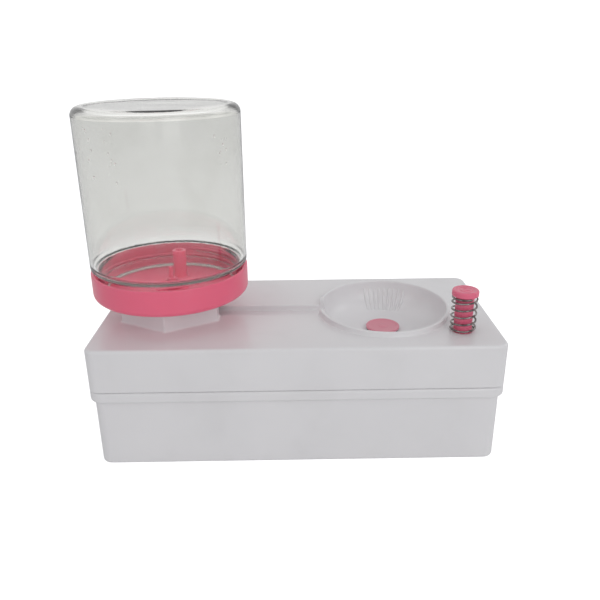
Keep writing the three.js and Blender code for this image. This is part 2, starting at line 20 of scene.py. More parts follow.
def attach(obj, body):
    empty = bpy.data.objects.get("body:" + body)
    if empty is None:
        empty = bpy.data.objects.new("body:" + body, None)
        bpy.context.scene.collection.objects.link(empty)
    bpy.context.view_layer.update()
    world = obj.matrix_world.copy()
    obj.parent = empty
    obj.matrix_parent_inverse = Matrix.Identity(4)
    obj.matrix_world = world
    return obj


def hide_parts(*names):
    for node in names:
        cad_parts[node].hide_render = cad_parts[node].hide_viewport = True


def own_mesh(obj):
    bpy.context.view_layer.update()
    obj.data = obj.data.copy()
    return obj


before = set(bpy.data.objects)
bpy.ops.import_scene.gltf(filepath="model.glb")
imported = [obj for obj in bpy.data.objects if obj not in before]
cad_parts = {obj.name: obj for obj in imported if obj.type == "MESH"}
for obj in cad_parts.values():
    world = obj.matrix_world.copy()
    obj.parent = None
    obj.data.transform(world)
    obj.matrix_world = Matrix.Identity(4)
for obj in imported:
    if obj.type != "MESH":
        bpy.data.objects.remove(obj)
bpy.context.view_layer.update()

log = logging.getLogger("brush_rinser")

Outline = list[tuple[float, float]]
Ring = list[tuple[float, float, float]]
Displace = Callable[[float, float, float], tuple[float, float]]
Colour = tuple[float, float, float]

MM = 0.001
ROUND = 144  # facets of a large turned shape
SMALL_ROUND = 48
FIT_GAP = 0.3


class Body(str, Enum):
    """The moving bodies that pieces ride on."""

    TUB = "tub"
    COVER = "cover"
    BOTTLE = "bottle"
    GASKET = "gasket"
    JAR = "jar"
    VALVE = "valve"
    BUTTON = "button"
    LEVER = "lever"
    PLUG = "plug"


class Slot(str, Enum):
    """The part's material slots."""

    WHITE = "white_plastic"
    PINK = "pink_plastic"
    CLEAR = "clear_plastic"
    WHITE_RUBBER = "white_rubber"
    GREY_RUBBER = "grey_rubber"
    NYLON = "natural_nylon"
    STEEL = "spring_steel"


class Join(str, Enum):
    """How a tool shape changes another shape."""

    ADD = "UNION"
    CUT = "DIFFERENCE"


# ---- Outlines ----


def arc(r: float, z: float, radius: float, start: float, end: float, steps: int = 6) -> Outline:
    """Points along an arc.

    Args:
        r: Distance of the arc's centre from the axis.
        z: Height of the arc's centre.
        radius: Radius of the arc.
        start: First angle, in degrees.
        end: Last angle, in degrees.
        steps: Number of straight parts.

    Returns:
        The points, both ends included.
    """
    angles = [math.radians(start + (end - start) * i / steps) for i in range(steps + 1)]
    return [(r + radius * math.cos(a), z + radius * math.sin(a)) for a in angles]


def bezier(points: Sequence[tuple[float, float]], steps: int) -> Outline:
    """Points along a cubic curve.

    Args:
        points: The four control points.
        steps: Number of straight parts.

    Returns:
        The points, both ends included.
    """
    made: Outline = []
    for i in range(steps + 1):
        t = i / steps
        weights = ((1 - t) ** 3, 3 * t * (1 - t) ** 2, 3 * t * t * (1 - t), t**3)
        made.append(tuple(sum(w * p[k] for w, p in zip(weights, points)) for k in (0, 1)))
    return made


def straight(start: tuple[float, float], end: tuple[float, float], steps: int) -> Outline:
    """Points along a straight line.

    Args:
        start: First point.
        end: Last point.
        steps: Number of parts.

    Returns:
        The points, both ends included.
    """
    return [
        tuple(start[k] + (end[k] - start[k]) * i / steps for k in (0, 1)) for i in range(steps + 1)
    ]


def rounded_polygon(corners: Sequence[Sequence[float]], radius: float, z: float, steps: int) -> Ring:
    """A level ring with rounded corners.

    Args:
        corners: The sharp corners, anticlockwise.
        radius: Radius of each corner.
        z: Height of the ring.
        steps: Number of parts of each corner.

    Returns:
        The ring's points.
    """
    ring: Ring = []
    points = [Vector(c[:2]) for c in corners]
    for i, corner in enumerate(points):
        arriving = (corner - points[i - 1]).normalized()
        leaving = (points[(i + 1) % len(points)] - corner).normalized()
        first = math.atan2(arriving.y, arriving.x) - math.pi / 2
        turn = (math.atan2(leaving.y, leaving.x) - math.pi / 2 - first) % (2 * math.pi)
        inward = (leaving - arriving).normalized()
        centre = corner + inward * radius / math.cos(turn / 2)
        for step in range(steps + 1):
            angle = first + turn * step / steps
            ring.append((centre.x + radius * math.cos(angle), centre.y + radius * math.sin(angle), z))
    return ring


def rounded_rectangle(
    half_x: float, half_y: float, radius: float, z: float, steps: int = 8
) -> Ring:
    """A level rectangle with rounded corners, centred on the axis.

    Args:
        half_x: Half its length.
        half_y: Half its width.
        radius: Radius of its corners.
        z: Height of the ring.
        steps: Number of parts of each corner.

    Returns:
        The ring's points.
    """
    corners = [(half_x, -half_y), (half_x, half_y), (-half_x, half_y), (-half_x, -half_y)]
    return rounded_polygon(corners, max(radius, 0.05), z, steps)


def hexagon(radius: float, corner: float, z: float, centre_x: float, steps: int = 6) -> Ring:
    """A level hexagon with two corners on the Y axis.

    Args:
        radius: Centre to sharp corner.
        corner: Radius of the rounded corners.
        z: Height of the ring.
        centre_x: Where its centre stands along X.
        steps: Number of parts of each corner.

    Returns:
        The ring's points.
    """
    angles = [math.radians(60 * i - 90) for i in range(6)]
    corners = [(centre_x + radius * math.cos(a), radius * math.sin(a)) for a in angles]
    return rounded_polygon(corners, corner, z, steps)


# ---- Shapes ----


class Skin:
    """Closed skins gathered in millimetres, made into one object."""

    def __init__(self) -> None:
        """Starts with nothing gathered."""
        self.bm = bmesh.new()

    def _bridge(self, low: list[bmesh.types.BMVert], high: list[bmesh.types.BMVert]) -> None:
        """Joins two rings by quads, or a ring and a pole by triangles.

        Args:
            low: The first ring.
            high: The second ring.
        """
        count = max(len(low), len(high))
        for i in range(count):
            j = (i + 1) % count
            corners = [low[i % len(low)], low[j % len(low)], high[j % len(high)], high[i % len(high)]]
            self.bm.faces.new(list(dict.fromkeys(corners)))

    def loft(self, rings: Iterable[Ring], endless: bool = False) -> Skin:
        """Adds a skin through rings of equal length.

        Args:
            rings: The rings in order; a ring of one point is a pole.
            endless: Whether the last ring joins the first instead of both being closed over.

        Returns:
            This gatherer.
        """
        made = [[self.bm.verts.new(p) for p in ring] for ring in rings]
        for low, high in zip(made, made[1:]):
            self._bridge(low, high)
        if endless:
            self._bridge(made[-1], made[0])
            return self
        for end in (made[0], made[-1]):
            if len(end) > 2:
                self.bm.faces.new(end)
        return self

    def turned(
        self,
        outline: Outline,
        x: float = 0.0,
        y: float = 0.0,
        steps: int = ROUND,
        displace: Displace | None = None,
    ) -> Skin:
        """Adds an outline turned about an upright axis.

        Args:
            outline: Points (radius, z); closed, unless both ends lie on the axis.
            x: Where the axis stands along X.
            y: Where the axis stands along Y.
            steps: Facets of the turn.
            displace: Gives the change of radius and height at (angle, radius, z).

        Returns:
            This gatherer.
        """
        angles = [2 * math.pi * i / steps for i in range(steps)]
        rings: list[Ring] = []
        for r, z in outline:
            if r < 1e-6:
                rings.append([(x, y, z + (displace(0.0, 0.0, z)[1] if displace else 0.0))])
                continue
            ring: Ring = []
            for a in angles:
                dr, dz = displace(a, r, z) if displace else (0.0, 0.0)
                ring.append((x + (r + dr) * math.cos(a), y + (r + dr) * math.sin(a), z + dz))
            rings.append(ring)
        on_axis = len(rings[0]) == 1 and len(rings[-1]) == 1
        return self.loft(rings, endless=not on_axis)

    def sheet(self, rows: Sequence[Ring]) -> Skin:
        """Adds an open sheet through rows of equal length.

        Args:
            rows: The rows of points, in order.

        Returns:
            This gatherer.
        """
        made = [[self.bm.verts.new(p) for p in row] for row in rows]
        for low, high in zip(made, made[1:]):
            for i in range(len(low) - 1):
                self.bm.faces.new((low[i], low[i + 1], high[i + 1], high[i]))
        return self

    def prism(self, section: Outline, x0: float, x1: float) -> Skin:
        """Adds a section of (y, z) points run along X.

        Args:
            section: The closed section.
            x0: Where it starts.
            x1: Where it ends.

        Returns:
            This gatherer.
        """
        return self.loft([[(x, y, z) for y, z in section] for x in (x0, x1)])

    def moved(self, matrix: Matrix) -> Skin:
        """Moves all that is gathered so far."""
        bmesh.ops.transform(self.bm, matrix=matrix, verts=self.bm.verts)
        return self

    def shape(self, name: str = "shape") -> bpy.types.Object:
        """Makes the gathered skins an object, still in millimetres.

        Args:
            name: Name of the object.

        Returns:
            The object, linked to the scene.
        """
        bmesh.ops.remove_doubles(self.bm, verts=self.bm.verts, dist=1e-4)
        bmesh.ops.recalc_face_normals(self.bm, faces=self.bm.faces)
        mesh = bpy.data.meshes.new(name)
        self.bm.to_mesh(mesh)
        self.bm.free()
        obj = bpy.data.objects.new(name, mesh)
        bpy.context.scene.collection.objects.link(obj)
        return obj


def settle(obj: bpy.types.Object) -> bpy.types.Object:
    """Turns an object and its modifiers into a plain mesh.

    Args:
        obj: The object, changed in place.

    Returns:
        The same object, without modifiers.
    """
    graph = bpy.context.evaluated_depsgraph_get()
    mesh = bpy.data.meshes.new_from_object(obj.evaluated_get(graph))
    obj.modifiers.clear()
    old, obj.data = obj.data, mesh
    if old.users == 0:
        bpy.data.meshes.remove(old)
    return obj


def shaped(base: bpy.types.Object, *steps: tuple[Join, bpy.types.Object]) -> bpy.types.Object:
    """Adds shapes to a base or cuts them from it, in order.

    Args:
        base: The shape that is changed.
        steps: What each tool shape does; the tools are used up.

    Returns:
        The changed base.
    """
    for join, tool in steps:
        modifier = base.modifiers.new(tool.name, "BOOLEAN")
        modifier.operation = join.value
        modifier.object = tool
        modifier.solver = "MANIFOLD"
    settle(base)
    for _, tool in steps:
        bpy.data.objects.remove(tool)
    return base


def finish_piece(
    obj: bpy.types.Object,
    name: str,
    material: bpy.types.Material,
    body: Body,
    slot: Slot | None,
    *nodes: str,
    crease: float = 32.0,
) -> bpy.types.Object:
    """Turns a shape to metres, smooths and dresses it, and fixes it to its body.

    Args:
        obj: The shape in millimetres.
        name: Name of the piece.
        material: Its finish.
        body: The body it rides on.
        slot: The part's material slot, where it has one; not used.
        nodes: The plain solids that it stands for.
        crease: Edges sharper than this many degrees stay sharp.

    Returns:
        The finished piece.
    """
    obj.name = name
    mesh = obj.data
    mesh.name = name
    mesh.transform(Matrix.Diagonal((MM, MM, MM, 1.0)))
    mesh.materials.clear()
    mesh.materials.append(material)
    mesh.shade_smooth()
    mesh.set_sharp_from_angle(angle=math.radians(crease))
    even = obj.modifiers.new("even", "WEIGHTED_NORMAL")
    even.keep_sharp = True
    even.weight = 90
    settle(obj)
    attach(obj, body.value)
    if nodes:
        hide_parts(*nodes)
    log.info("%s: %d faces on %s", name, len(obj.data.polygons), body.value)
    return obj


# ---- Repeats and paths, made by Geometry Nodes ----


class Pattern:
    """A Geometry Nodes tree with named inputs that makes a repeated or a swept shape."""

    def __init__(self, name: str, inputs: dict[str, tuple[str, Any]]) -> None:
        """Starts a tree.

        Args:
            name: Name of the tree.
            inputs: Socket type and default value of each named input.
        """
        self.tree = bpy.data.node_groups.new(name, "GeometryNodeTree")
        face = self.tree.interface
        face.new_socket("Geometry", in_out="INPUT", socket_type="NodeSocketGeometry")
        for label, (kind, default) in inputs.items():
            socket = face.new_socket(label, in_out="INPUT", socket_type=kind)
            if default is not None:
                socket.default_value = default
        face.new_socket("Material", in_out="INPUT", socket_type="NodeSocketMaterial")
        face.new_socket("Geometry", in_out="OUTPUT", socket_type="NodeSocketGeometry")
        self.given = self.tree.nodes.new("NodeGroupInput").outputs

    def node(self, kind: str, links: dict[str | int, Any], **settings: Any) -> bpy.types.Node:
        """Adds a node.

        Args:
            kind: Type of the node.
            links: For each input, the output or the value that feeds it.
            settings: Properties of the node.

        Returns:
            The node.
        """
        made = self.tree.nodes.new(kind)
        for key, value in settings.items():
            setattr(made, key, value)
        for key, value in links.items():
            if isinstance(value, bpy.types.NodeSocket):
                self.tree.links.new(value, made.inputs[key])
            else:
                made.inputs[key].default_value = value
        return made

    def end(self, geometry: bpy.types.NodeSocket) -> Pattern:
        """Realizes the instances, sets the material and ends the tree.

        Args:
            geometry: What the tree made so far.

        Returns:
            This pattern, ready to run.
        """
        real = self.node("GeometryNodeRealizeInstances", {"Geometry": geometry})
        links = {"Geometry": real.outputs[0], "Material": self.given["Material"]}
        dressed = self.node("GeometryNodeSetMaterial", links)
        self.node("NodeGroupOutput", {"Geometry": dressed.outputs[0]})
        return self

    def run(self, obj: bpy.types.Object, values: dict[str, Any]) -> bpy.types.Object:
        """Runs the tree on an object and keeps the result as its plain mesh.

        Args:
            obj: The object whose mesh goes in.
            values: Value of each named input.

        Returns:
            The same object.
        """
        modifier = obj.modifiers.new(self.tree.name, "NODES")
        modifier.node_group = self.tree
        for item in self.tree.interface.items_tree:
            if item.in_out == "INPUT" and item.name in values:
                modifier[item.identifier] = values[item.name]
        return settle(obj)


def round_pattern() -> Pattern:
    """A shape repeated about an upright axis.

    Returns:
        The pattern; its inputs are the number of copies, the first angle, the step and the centre.
    """
    inputs = {
        "Count": ("NodeSocketInt", 3),
        "First": ("NodeSocketFloat", 0.0),
        "Step": ("NodeSocketFloat", 1.0),
        "Centre": ("NodeSocketVector", (0.0, 0.0, 0.0)),
    }
    pattern = Pattern("repeat round an axis", inputs)
    given = pattern.given
    points = pattern.node("GeometryNodeMeshLine", {"Count": given["Count"], "Offset": (0.0, 0.0, 0.0)})
    index = pattern.node("GeometryNodeInputIndex", {})
    angle = pattern.node(
        "ShaderNodeMath",
        {0: index.outputs[0], 1: given["Step"], 2: given["First"]},
        operation="MULTIPLY_ADD",
    )
    turn = pattern.node("ShaderNodeCombineXYZ", {"Z": angle.outputs[0]})
    links = {
        "Points": points.outputs[0],
        "Instance": given["Geometry"],
        "Rotation": turn.outputs[0],
    }
    copies = pattern.node("GeometryNodeInstanceOnPoints", links)
    links = {"Geometry": copies.outputs[0], "Offset": given["Centre"]}
    return pattern.end(pattern.node("GeometryNodeSetPosition", links).outputs[0])


def row_pattern() -> Pattern:
    """A shape repeated along a straight line.

    Returns:
        The pattern; its inputs are the number of copies and the step between them.
    """
    inputs = {"Count": ("NodeSocketInt", 3), "Offset": ("NodeSocketVector", (1.0, 0.0, 0.0))}
    pattern = Pattern("repeat in a row", inputs)
    given = pattern.given
    points = pattern.node(
        "GeometryNodeMeshLine", {"Count": given["Count"], "Offset": given["Offset"]}
    )
    links = {"Points": points.outputs[0], "Instance": given["Geometry"]}
    return pattern.end(pattern.node("GeometryNodeInstanceOnPoints", links).outputs[0])


def wire_pattern() -> Pattern:
    """A round wire along the path that comes in.

    Returns:
        The pattern; its inputs are the wire's radius and its number of sides.
    """
    inputs = {"Radius": ("NodeSocketFloat", 0.5), "Sides": ("NodeSocketInt", 12)}
    pattern = Pattern("wire along a path", inputs)
    given = pattern.given
    path = pattern.node("GeometryNodeMeshToCurve", {"Mesh": given["Geometry"]})
    links = {"Resolution": given["Sides"], "Radius": given["Radius"]}
    section = pattern.node("GeometryNodeCurvePrimitiveCircle", links)
    links = {
        "Curve": path.outputs[0],
        "Profile Curve": section.outputs[0],
        "Fill Caps": True,
    }
    return pattern.end(pattern.node("GeometryNodeCurveToMesh", links).outputs[0])


def droplet_pattern() -> Pattern:
    """Small flat droplets in loose groups over the surface that comes in.

    Returns:
        The pattern; its inputs are the droplets' number, grouping and size.
    """
    inputs = {
        "Density": ("NodeSocketFloat", 0.01),
        "Seed": ("NodeSocketInt", 1),
        "Group size": ("NodeSocketFloat", 0.05),
        "Group edge": ("NodeSocketFloat", 0.6),
        "Smallest": ("NodeSocketFloat", 0.2),
        "Largest": ("NodeSocketFloat", 0.6),
        "Thickness": ("NodeSocketFloat", 0.3),
    }
    pattern = Pattern("droplets", inputs)
    given = pattern.given
    cloud = pattern.node("ShaderNodeTexNoise", {"Scale": given["Group size"], "Detail": 1.0})
    links = {
        "Value": cloud.outputs[0],
        "From Min": given["Group edge"],
        "From Max": 0.78,
        "To Max": given["Density"],
    }
    density = pattern.node("ShaderNodeMapRange", links)
    links = {
        "Mesh": given["Geometry"],
        "Density": density.outputs[0],
        "Seed": given["Seed"],
    }
    points = pattern.node("GeometryNodeDistributePointsOnFaces", links)
    size = pattern.node("FunctionNodeRandomValue", {}, data_type="FLOAT")
    pattern.tree.links.new(given["Smallest"], size.inputs[2])
    pattern.tree.links.new(given["Largest"], size.inputs[3])
    pattern.tree.links.new(given["Seed"], size.inputs["Seed"])
    links = {"X": size.outputs[1], "Y": size.outputs[1], "Z": given["Thickness"]}
    scale = pattern.node("ShaderNodeCombineXYZ", links)
    bead = pattern.node("GeometryNodeMeshIcoSphere", {"Radius": 1.0, "Subdivisions": 3})
    links = {
        "Points": points.outputs["Points"],
        "Instance": bead.outputs["Mesh"],
        "Rotation": points.outputs["Rotation"],
        "Scale": scale.outputs[0],
    }
    return pattern.end(pattern.node("GeometryNodeInstanceOnPoints", links).outputs[0])


# ---- Finishes ----


class Nodes:
    """Short calls for building a shader tree."""

    def __init__(self, tree: bpy.types.NodeTree) -> None:
        """Works on a tree."""
        self.tree = tree

    def add(
        self, kind: str, links: dict[str | int, Any] | None = None, **settings: Any
    ) -> bpy.types.Node:
        """Adds a node.

        Args:
            kind: Type of the node.
            links: For each input, the output or the value that feeds it.
            settings: Properties of the node.

        Returns:
            The node.
        """
        made = self.tree.nodes.new(kind)
        for key, value in settings.items():
            setattr(made, key, value)
        for key, value in (links or {}).items():
            if isinstance(value, bpy.types.NodeSocket):
                self.tree.links.new(value, made.inputs[key])
            else:
                made.inputs[key].default_value = value
        return made

    def scaled(
        self, value: bpy.types.NodeSocket, low: float, high: float, to: tuple[float, float]
    ) -> bpy.types.NodeSocket:
        """Maps a value from one range to another.

        Args:
            value: The value.
            low: Start of its range.
            high: End of its range.
            to: The new range.

        Returns:
            The mapped value, clamped.
        """
        links = {"Value": value, "From Min": low, "From Max": high, "To Min": to[0], "To Max": to[1]}
        return self.add("ShaderNodeMapRange", links).outputs[0]

    def mixed(self, share: Any, first: Any, second: Any) -> bpy.types.NodeSocket:
        """Mixes two colours.

        Args:
            share: Share of the second colour.
            first: First colour, or its socket.
            second: Second colour, or its socket.

        Returns:
            The mixed colour.
        """
        node = self.add("ShaderNodeMix", data_type="RGBA")
        for index, value in ((0, share), (6, first), (7, second)):
            socket = node.inputs[index]
            if isinstance(value, bpy.types.NodeSocket):
                self.tree.links.new(value, socket)
            else:
                socket.default_value = value
        return node.outputs[2]


def shared_effect(
    name: str, inputs: dict[str, float], outputs: Sequence[str]
) -> tuple[Nodes, Any, bpy.types.Node]:
    """Starts a shader node group that several finishes use.

    Args:
        name: Name of the group.
        inputs: Default of each number that goes in.
        outputs: Name of each value that comes out.

    Returns:
        The group's nodes, its input sockets and its output node.
    """
    tree = bpy.data.node_groups.new(name, "ShaderNodeTree")
    tree.interface.new_socket("Vector", in_out="INPUT", socket_type="NodeSocketVector")
    for label, default in inputs.items():
        socket = tree.interface.new_socket(label, in_out="INPUT", socket_type="NodeSocketFloat")
        socket.default_value = default
    for label in outputs:
        tree.interface.new_socket(label, in_out="OUTPUT", socket_type="NodeSocketFloat")
    nodes = Nodes(tree)
    return nodes, nodes.add("NodeGroupInput").outputs, nodes.add("NodeGroupOutput")


def moulding_effect() -> bpy.types.NodeTree:
    """Slow flow of tone, and a fine skin, as left by an injection mould.

    Returns:
        The node group, which puts out a tone and a height.
    """
    nodes, given, out = shared_effect(
        "moulded skin", {"Flow": 12.0, "Grain": 1400.0, "Ripple": 60.0}, ("Tone", "Height")
    )
    slow, fine, wave = (
        nodes.add("ShaderNodeTexNoise", {"Vector": given[0], "Scale": given[scale], "Detail": detail})
        for scale, detail in (("Flow", 3.0), ("Grain", 2.0), ("Ripple", 1.0))
    )
    share = nodes.add("ShaderNodeMath", {0: fine.outputs[0], 1: 0.12}, operation="MULTIPLY")
    height = nodes.add("ShaderNodeMath", {0: wave.outputs[0], 1: share.outputs[0]}, operation="ADD")
    nodes.tree.links.new(slow.outputs[0], out.inputs["Tone"])
    nodes.tree.links.new(height.outputs[0], out.inputs["Height"])
    return nodes.tree


def handling_effect() -> bpy.types.NodeTree:
    """Smudges and hair scratches from handling, as masks.

    Returns:
        The node group, which puts out two masks.
    """
    nodes, given, out = shared_effect("handling marks", {"Size": 30.0}, ("Smudge", "Scratch"))
    links = {"Vector": given[0], "Scale": given["Size"], "Detail": 5.0, "Distortion": 0.6}
    cloud = nodes.add("ShaderNodeTexNoise", links)
    smudge = nodes.scaled(cloud.outputs[0], 0.5, 0.72, (0.0, 1.0))
    links = {"Vector": given[0], "Rotation": (0.5, 0.3, 0.9), "Scale": (1.0, 14.0, 5.0)}
    turned = nodes.add("ShaderNodeMapping", links)
    hair = nodes.add("ShaderNodeTexNoise", {"Vector": turned.outputs[0], "Scale": 45.0, "Detail": 2.0})
    scratch = nodes.scaled(hair.outputs[0], 0.7, 0.74, (0.0, 1.0))
    nodes.tree.links.new(smudge, out.inputs["Smudge"])
    nodes.tree.links.new(scratch, out.inputs["Scratch"])
    return nodes.tree


@dataclass(frozen=True)
class Effects:
    """The shared effects, built once."""

    moulding: bpy.types.NodeTree
    handling: bpy.types.NodeTree


@dataclass(frozen=True)
class MouldedPlastic:
    """Opaque moulded plastic or rubber.

    Attributes:
        name: Name of the material.
        colour: Main colour.
        shade: Colour where the plastic flowed thicker.
        dust: Colour of smudges.
        rough: Least and greatest roughness.
        coat: Weight of the clear gloss on top.
        bump: Depth of the surface's relief in metres.
        flow: Scale of the colour's variation.
        dusty: How much the smudges show.
        bleed: How much light passes through the skin.
    """

    name: str
    colour: Colour
    shade: Colour
    dust: Colour = (0.55, 0.52, 0.5)
    rough: tuple[float, float] = (0.28, 0.42)
    coat: float = 0.15
    bump: float = 0.00004
    flow: float = 14.0
    dusty: float = 0.12
    bleed: float = 0.0

    def build(self, effects: Effects) -> bpy.types.Material:
        """Makes the material.

        Args:
            effects: The shared effects.

        Returns:
            The material.
        """
        material = bpy.data.materials.new(self.name)
        material.use_nodes = True
        nodes = Nodes(material.node_tree)
        shader = material.node_tree.nodes["Principled BSDF"]
        place = nodes.add("ShaderNodeTexCoord").outputs["Object"]
        skin = nodes.add("ShaderNodeGroup", node_tree=effects.moulding)
        marks = nodes.add("ShaderNodeGroup", node_tree=effects.handling)
        skin.inputs["Flow"].default_value = self.flow
        for group in (skin, marks):
            nodes.tree.links.new(place, group.inputs[0])
        tone = nodes.scaled(skin.outputs["Tone"], 0.3, 0.7, (0.0, 1.0))
        base = nodes.mixed(tone, (*self.colour, 1.0), (*self.shade, 1.0))
        dusty = nodes.scaled(marks.outputs["Smudge"], 0.0, 1.0, (0.0, self.dusty))
        nodes.tree.links.new(nodes.mixed(dusty, base, (*self.dust, 1.0)), shader.inputs["Base Color"])
        worn = nodes.add(
            "ShaderNodeMath",
            {0: marks.outputs["Smudge"], 1: marks.outputs["Scratch"]},
            operation="MAXIMUM",
        )
        nodes.tree.links.new(
            nodes.scaled(worn.outputs[0], 0.0, 1.0, self.rough), shader.inputs["Roughness"]
        )
        links = {"Height": skin.outputs["Height"], "Distance": self.bump, "Strength": 0.6}
        nodes.tree.links.new(nodes.add("ShaderNodeBump", links).outputs[0], shader.inputs["Normal"])
        shader.inputs["Coat Weight"].default_value = self.coat
        shader.inputs["Coat Roughness"].default_value = 0.12
        shader.inputs["IOR"].default_value = 1.5
        if self.bleed:
            shader.inputs["Subsurface Weight"].default_value = self.bleed
            shader.inputs["Subsurface Radius"].default_value = (1.0, 0.4, 0.4)
            shader.inputs["Subsurface Scale"].default_value = 0.002
        return material


@dataclass(frozen=True)
class ClearPlastic:
    """Clear plastic with a slight tint and a few marks.

    Attributes:
        name: Name of the material.
        tint: Colour of the light that comes through.
        haze: Colour where it is smudged.
        rough: Least and greatest roughness.
        bump: Depth of the surface's waviness in metres.
        painted_clear_below: Height in metres under which the tint and smudges are painted out to near
            white, as painted light that lifts the shade on the cap's inside seen through the neck; none
            if zero.
        edge: Colour where it is seen edge on.
        edge_depth: Share of that colour.
    """

    name: str
    tint: Colour
    haze: Colour
    rough: tuple[float, float] = (0.01, 0.05)
    bump: float = 0.00015
    painted_clear_below: float = 0.0
    edge: Colour = (0.7, 0.69, 0.66)
    edge_depth: float = 0.6

    def build(self, effects: Effects) -> bpy.types.Material:
        """Makes the material.

        Args:
            effects: The shared effects.

        Returns:
            The material.
        """
        material = bpy.data.materials.new(self.name)
        material.use_nodes = True
        nodes = Nodes(material.node_tree)
        shader = material.node_tree.nodes["Principled BSDF"]
        place = nodes.add("ShaderNodeTexCoord").outputs["Object"]
        skin = nodes.add("ShaderNodeGroup", node_tree=effects.moulding)
        marks = nodes.add("ShaderNodeGroup", node_tree=effects.handling)
        skin.inputs["Ripple"].default_value = 35.0
        for group in (skin, marks):
            nodes.tree.links.new(place, group.inputs[0])
        clean = nodes.mixed(marks.outputs["Smudge"], (*self.tint, 1.0), (*self.haze, 1.0))
        facing = nodes.add("ShaderNodeLayerWeight", {"Blend": 0.5}).outputs["Facing"]
        deep = nodes.scaled(facing, 0.5, 1.0, (0.0, self.edge_depth))
        colour = nodes.mixed(deep, clean, (*self.edge, 1.0))
        # Painted light: below the given height the glass is painted nearly white, which lifts the shade
        # on the cap's inside seen through the neck.
        if self.painted_clear_below:
            height = nodes.add("ShaderNodeSeparateXYZ", {"Vector": place}).outputs["Z"]
            painted_paler = nodes.scaled(height, self.painted_clear_below, self.painted_clear_below + 0.012, (1.0, 0.0))
            colour = nodes.mixed(painted_paler, colour, (0.98, 0.975, 0.97, 1.0))
        nodes.tree.links.new(colour, shader.inputs["Base Color"])
        nodes.tree.links.new(
            nodes.scaled(marks.outputs["Scratch"], 0.0, 1.0, self.rough), shader.inputs["Roughness"]
        )
        links = {"Height": skin.outputs["Height"], "Distance": self.bump, "Strength": 0.5}
        nodes.tree.links.new(nodes.add("ShaderNodeBump", links).outputs[0], shader.inputs["Normal"])
        shader.inputs["Transmission Weight"].default_value = 1.0
        shader.inputs["IOR"].default_value = 1.49
        lamp = nodes.add("ShaderNodeLightPath").outputs["Is Shadow Ray"]
        through = nodes.add("ShaderNodeBsdfTransparent", {"Color": (0.99, 0.99, 0.985, 1.0)})
        links = {0: lamp, 1: shader.outputs[0], 2: through.outputs[0]}
        mix = nodes.add("ShaderNodeMixShader", links)
        out = material.node_tree.nodes["Material Output"]
        nodes.tree.links.new(mix.outputs[0], out.inputs["Surface"])
        return material


@dataclass(frozen=True)
class SpringSteel:
    """Bright drawn steel wire.

    Attributes:
        name: Name of the material.
        colour: Colour of the metal.
        dull: Colour where it is dull.
    """

    name: str
    colour: Colour = (0.34, 0.32, 0.31)
    dull: Colour = (0.1, 0.085, 0.085)

    def build(self, effects: Effects) -> bpy.types.Material:
        """Makes the material.

        Args:
            effects: The shared effects.

        Returns:
            The material.
        """
        material = bpy.data.materials.new(self.name)
        material.use_nodes = True
        nodes = Nodes(material.node_tree)
        shader = material.node_tree.nodes["Principled BSDF"]
        place = nodes.add("ShaderNodeTexCoord").outputs["Object"]
        skin = nodes.add("ShaderNodeGroup", node_tree=effects.moulding)
        skin.inputs["Flow"].default_value = 220.0
        nodes.tree.links.new(place, skin.inputs[0])
        tone = nodes.scaled(skin.outputs["Tone"], 0.35, 0.65, (0.0, 1.0))
        nodes.tree.links.new(
            nodes.mixed(tone, (*self.colour, 1.0), (*self.dull, 1.0)), shader.inputs["Base Color"]
        )
        nodes.tree.links.new(nodes.scaled(tone, 0.0, 1.0, (0.18, 0.36)), shader.inputs["Roughness"])
        links = {"Height": skin.outputs["Height"], "Distance": 0.00001, "Strength": 0.5}
        nodes.tree.links.new(nodes.add("ShaderNodeBump", links).outputs[0], shader.inputs["Normal"])
        shader.inputs["Metallic"].default_value = 1.0
        return material


@dataclass(frozen=True)
class Finishes:
    """Every material of the object."""

    white: bpy.types.Material
    pink: bpy.types.Material
    button_pink: bpy.types.Material
    plug_pink_painted_pale: bpy.types.Material
    clear: bpy.types.Material
    droplet: bpy.types.Material
    steel: bpy.types.Material
    white_rubber: bpy.types.Material
    grey_rubber: bpy.types.Material
    nylon: bpy.types.Material


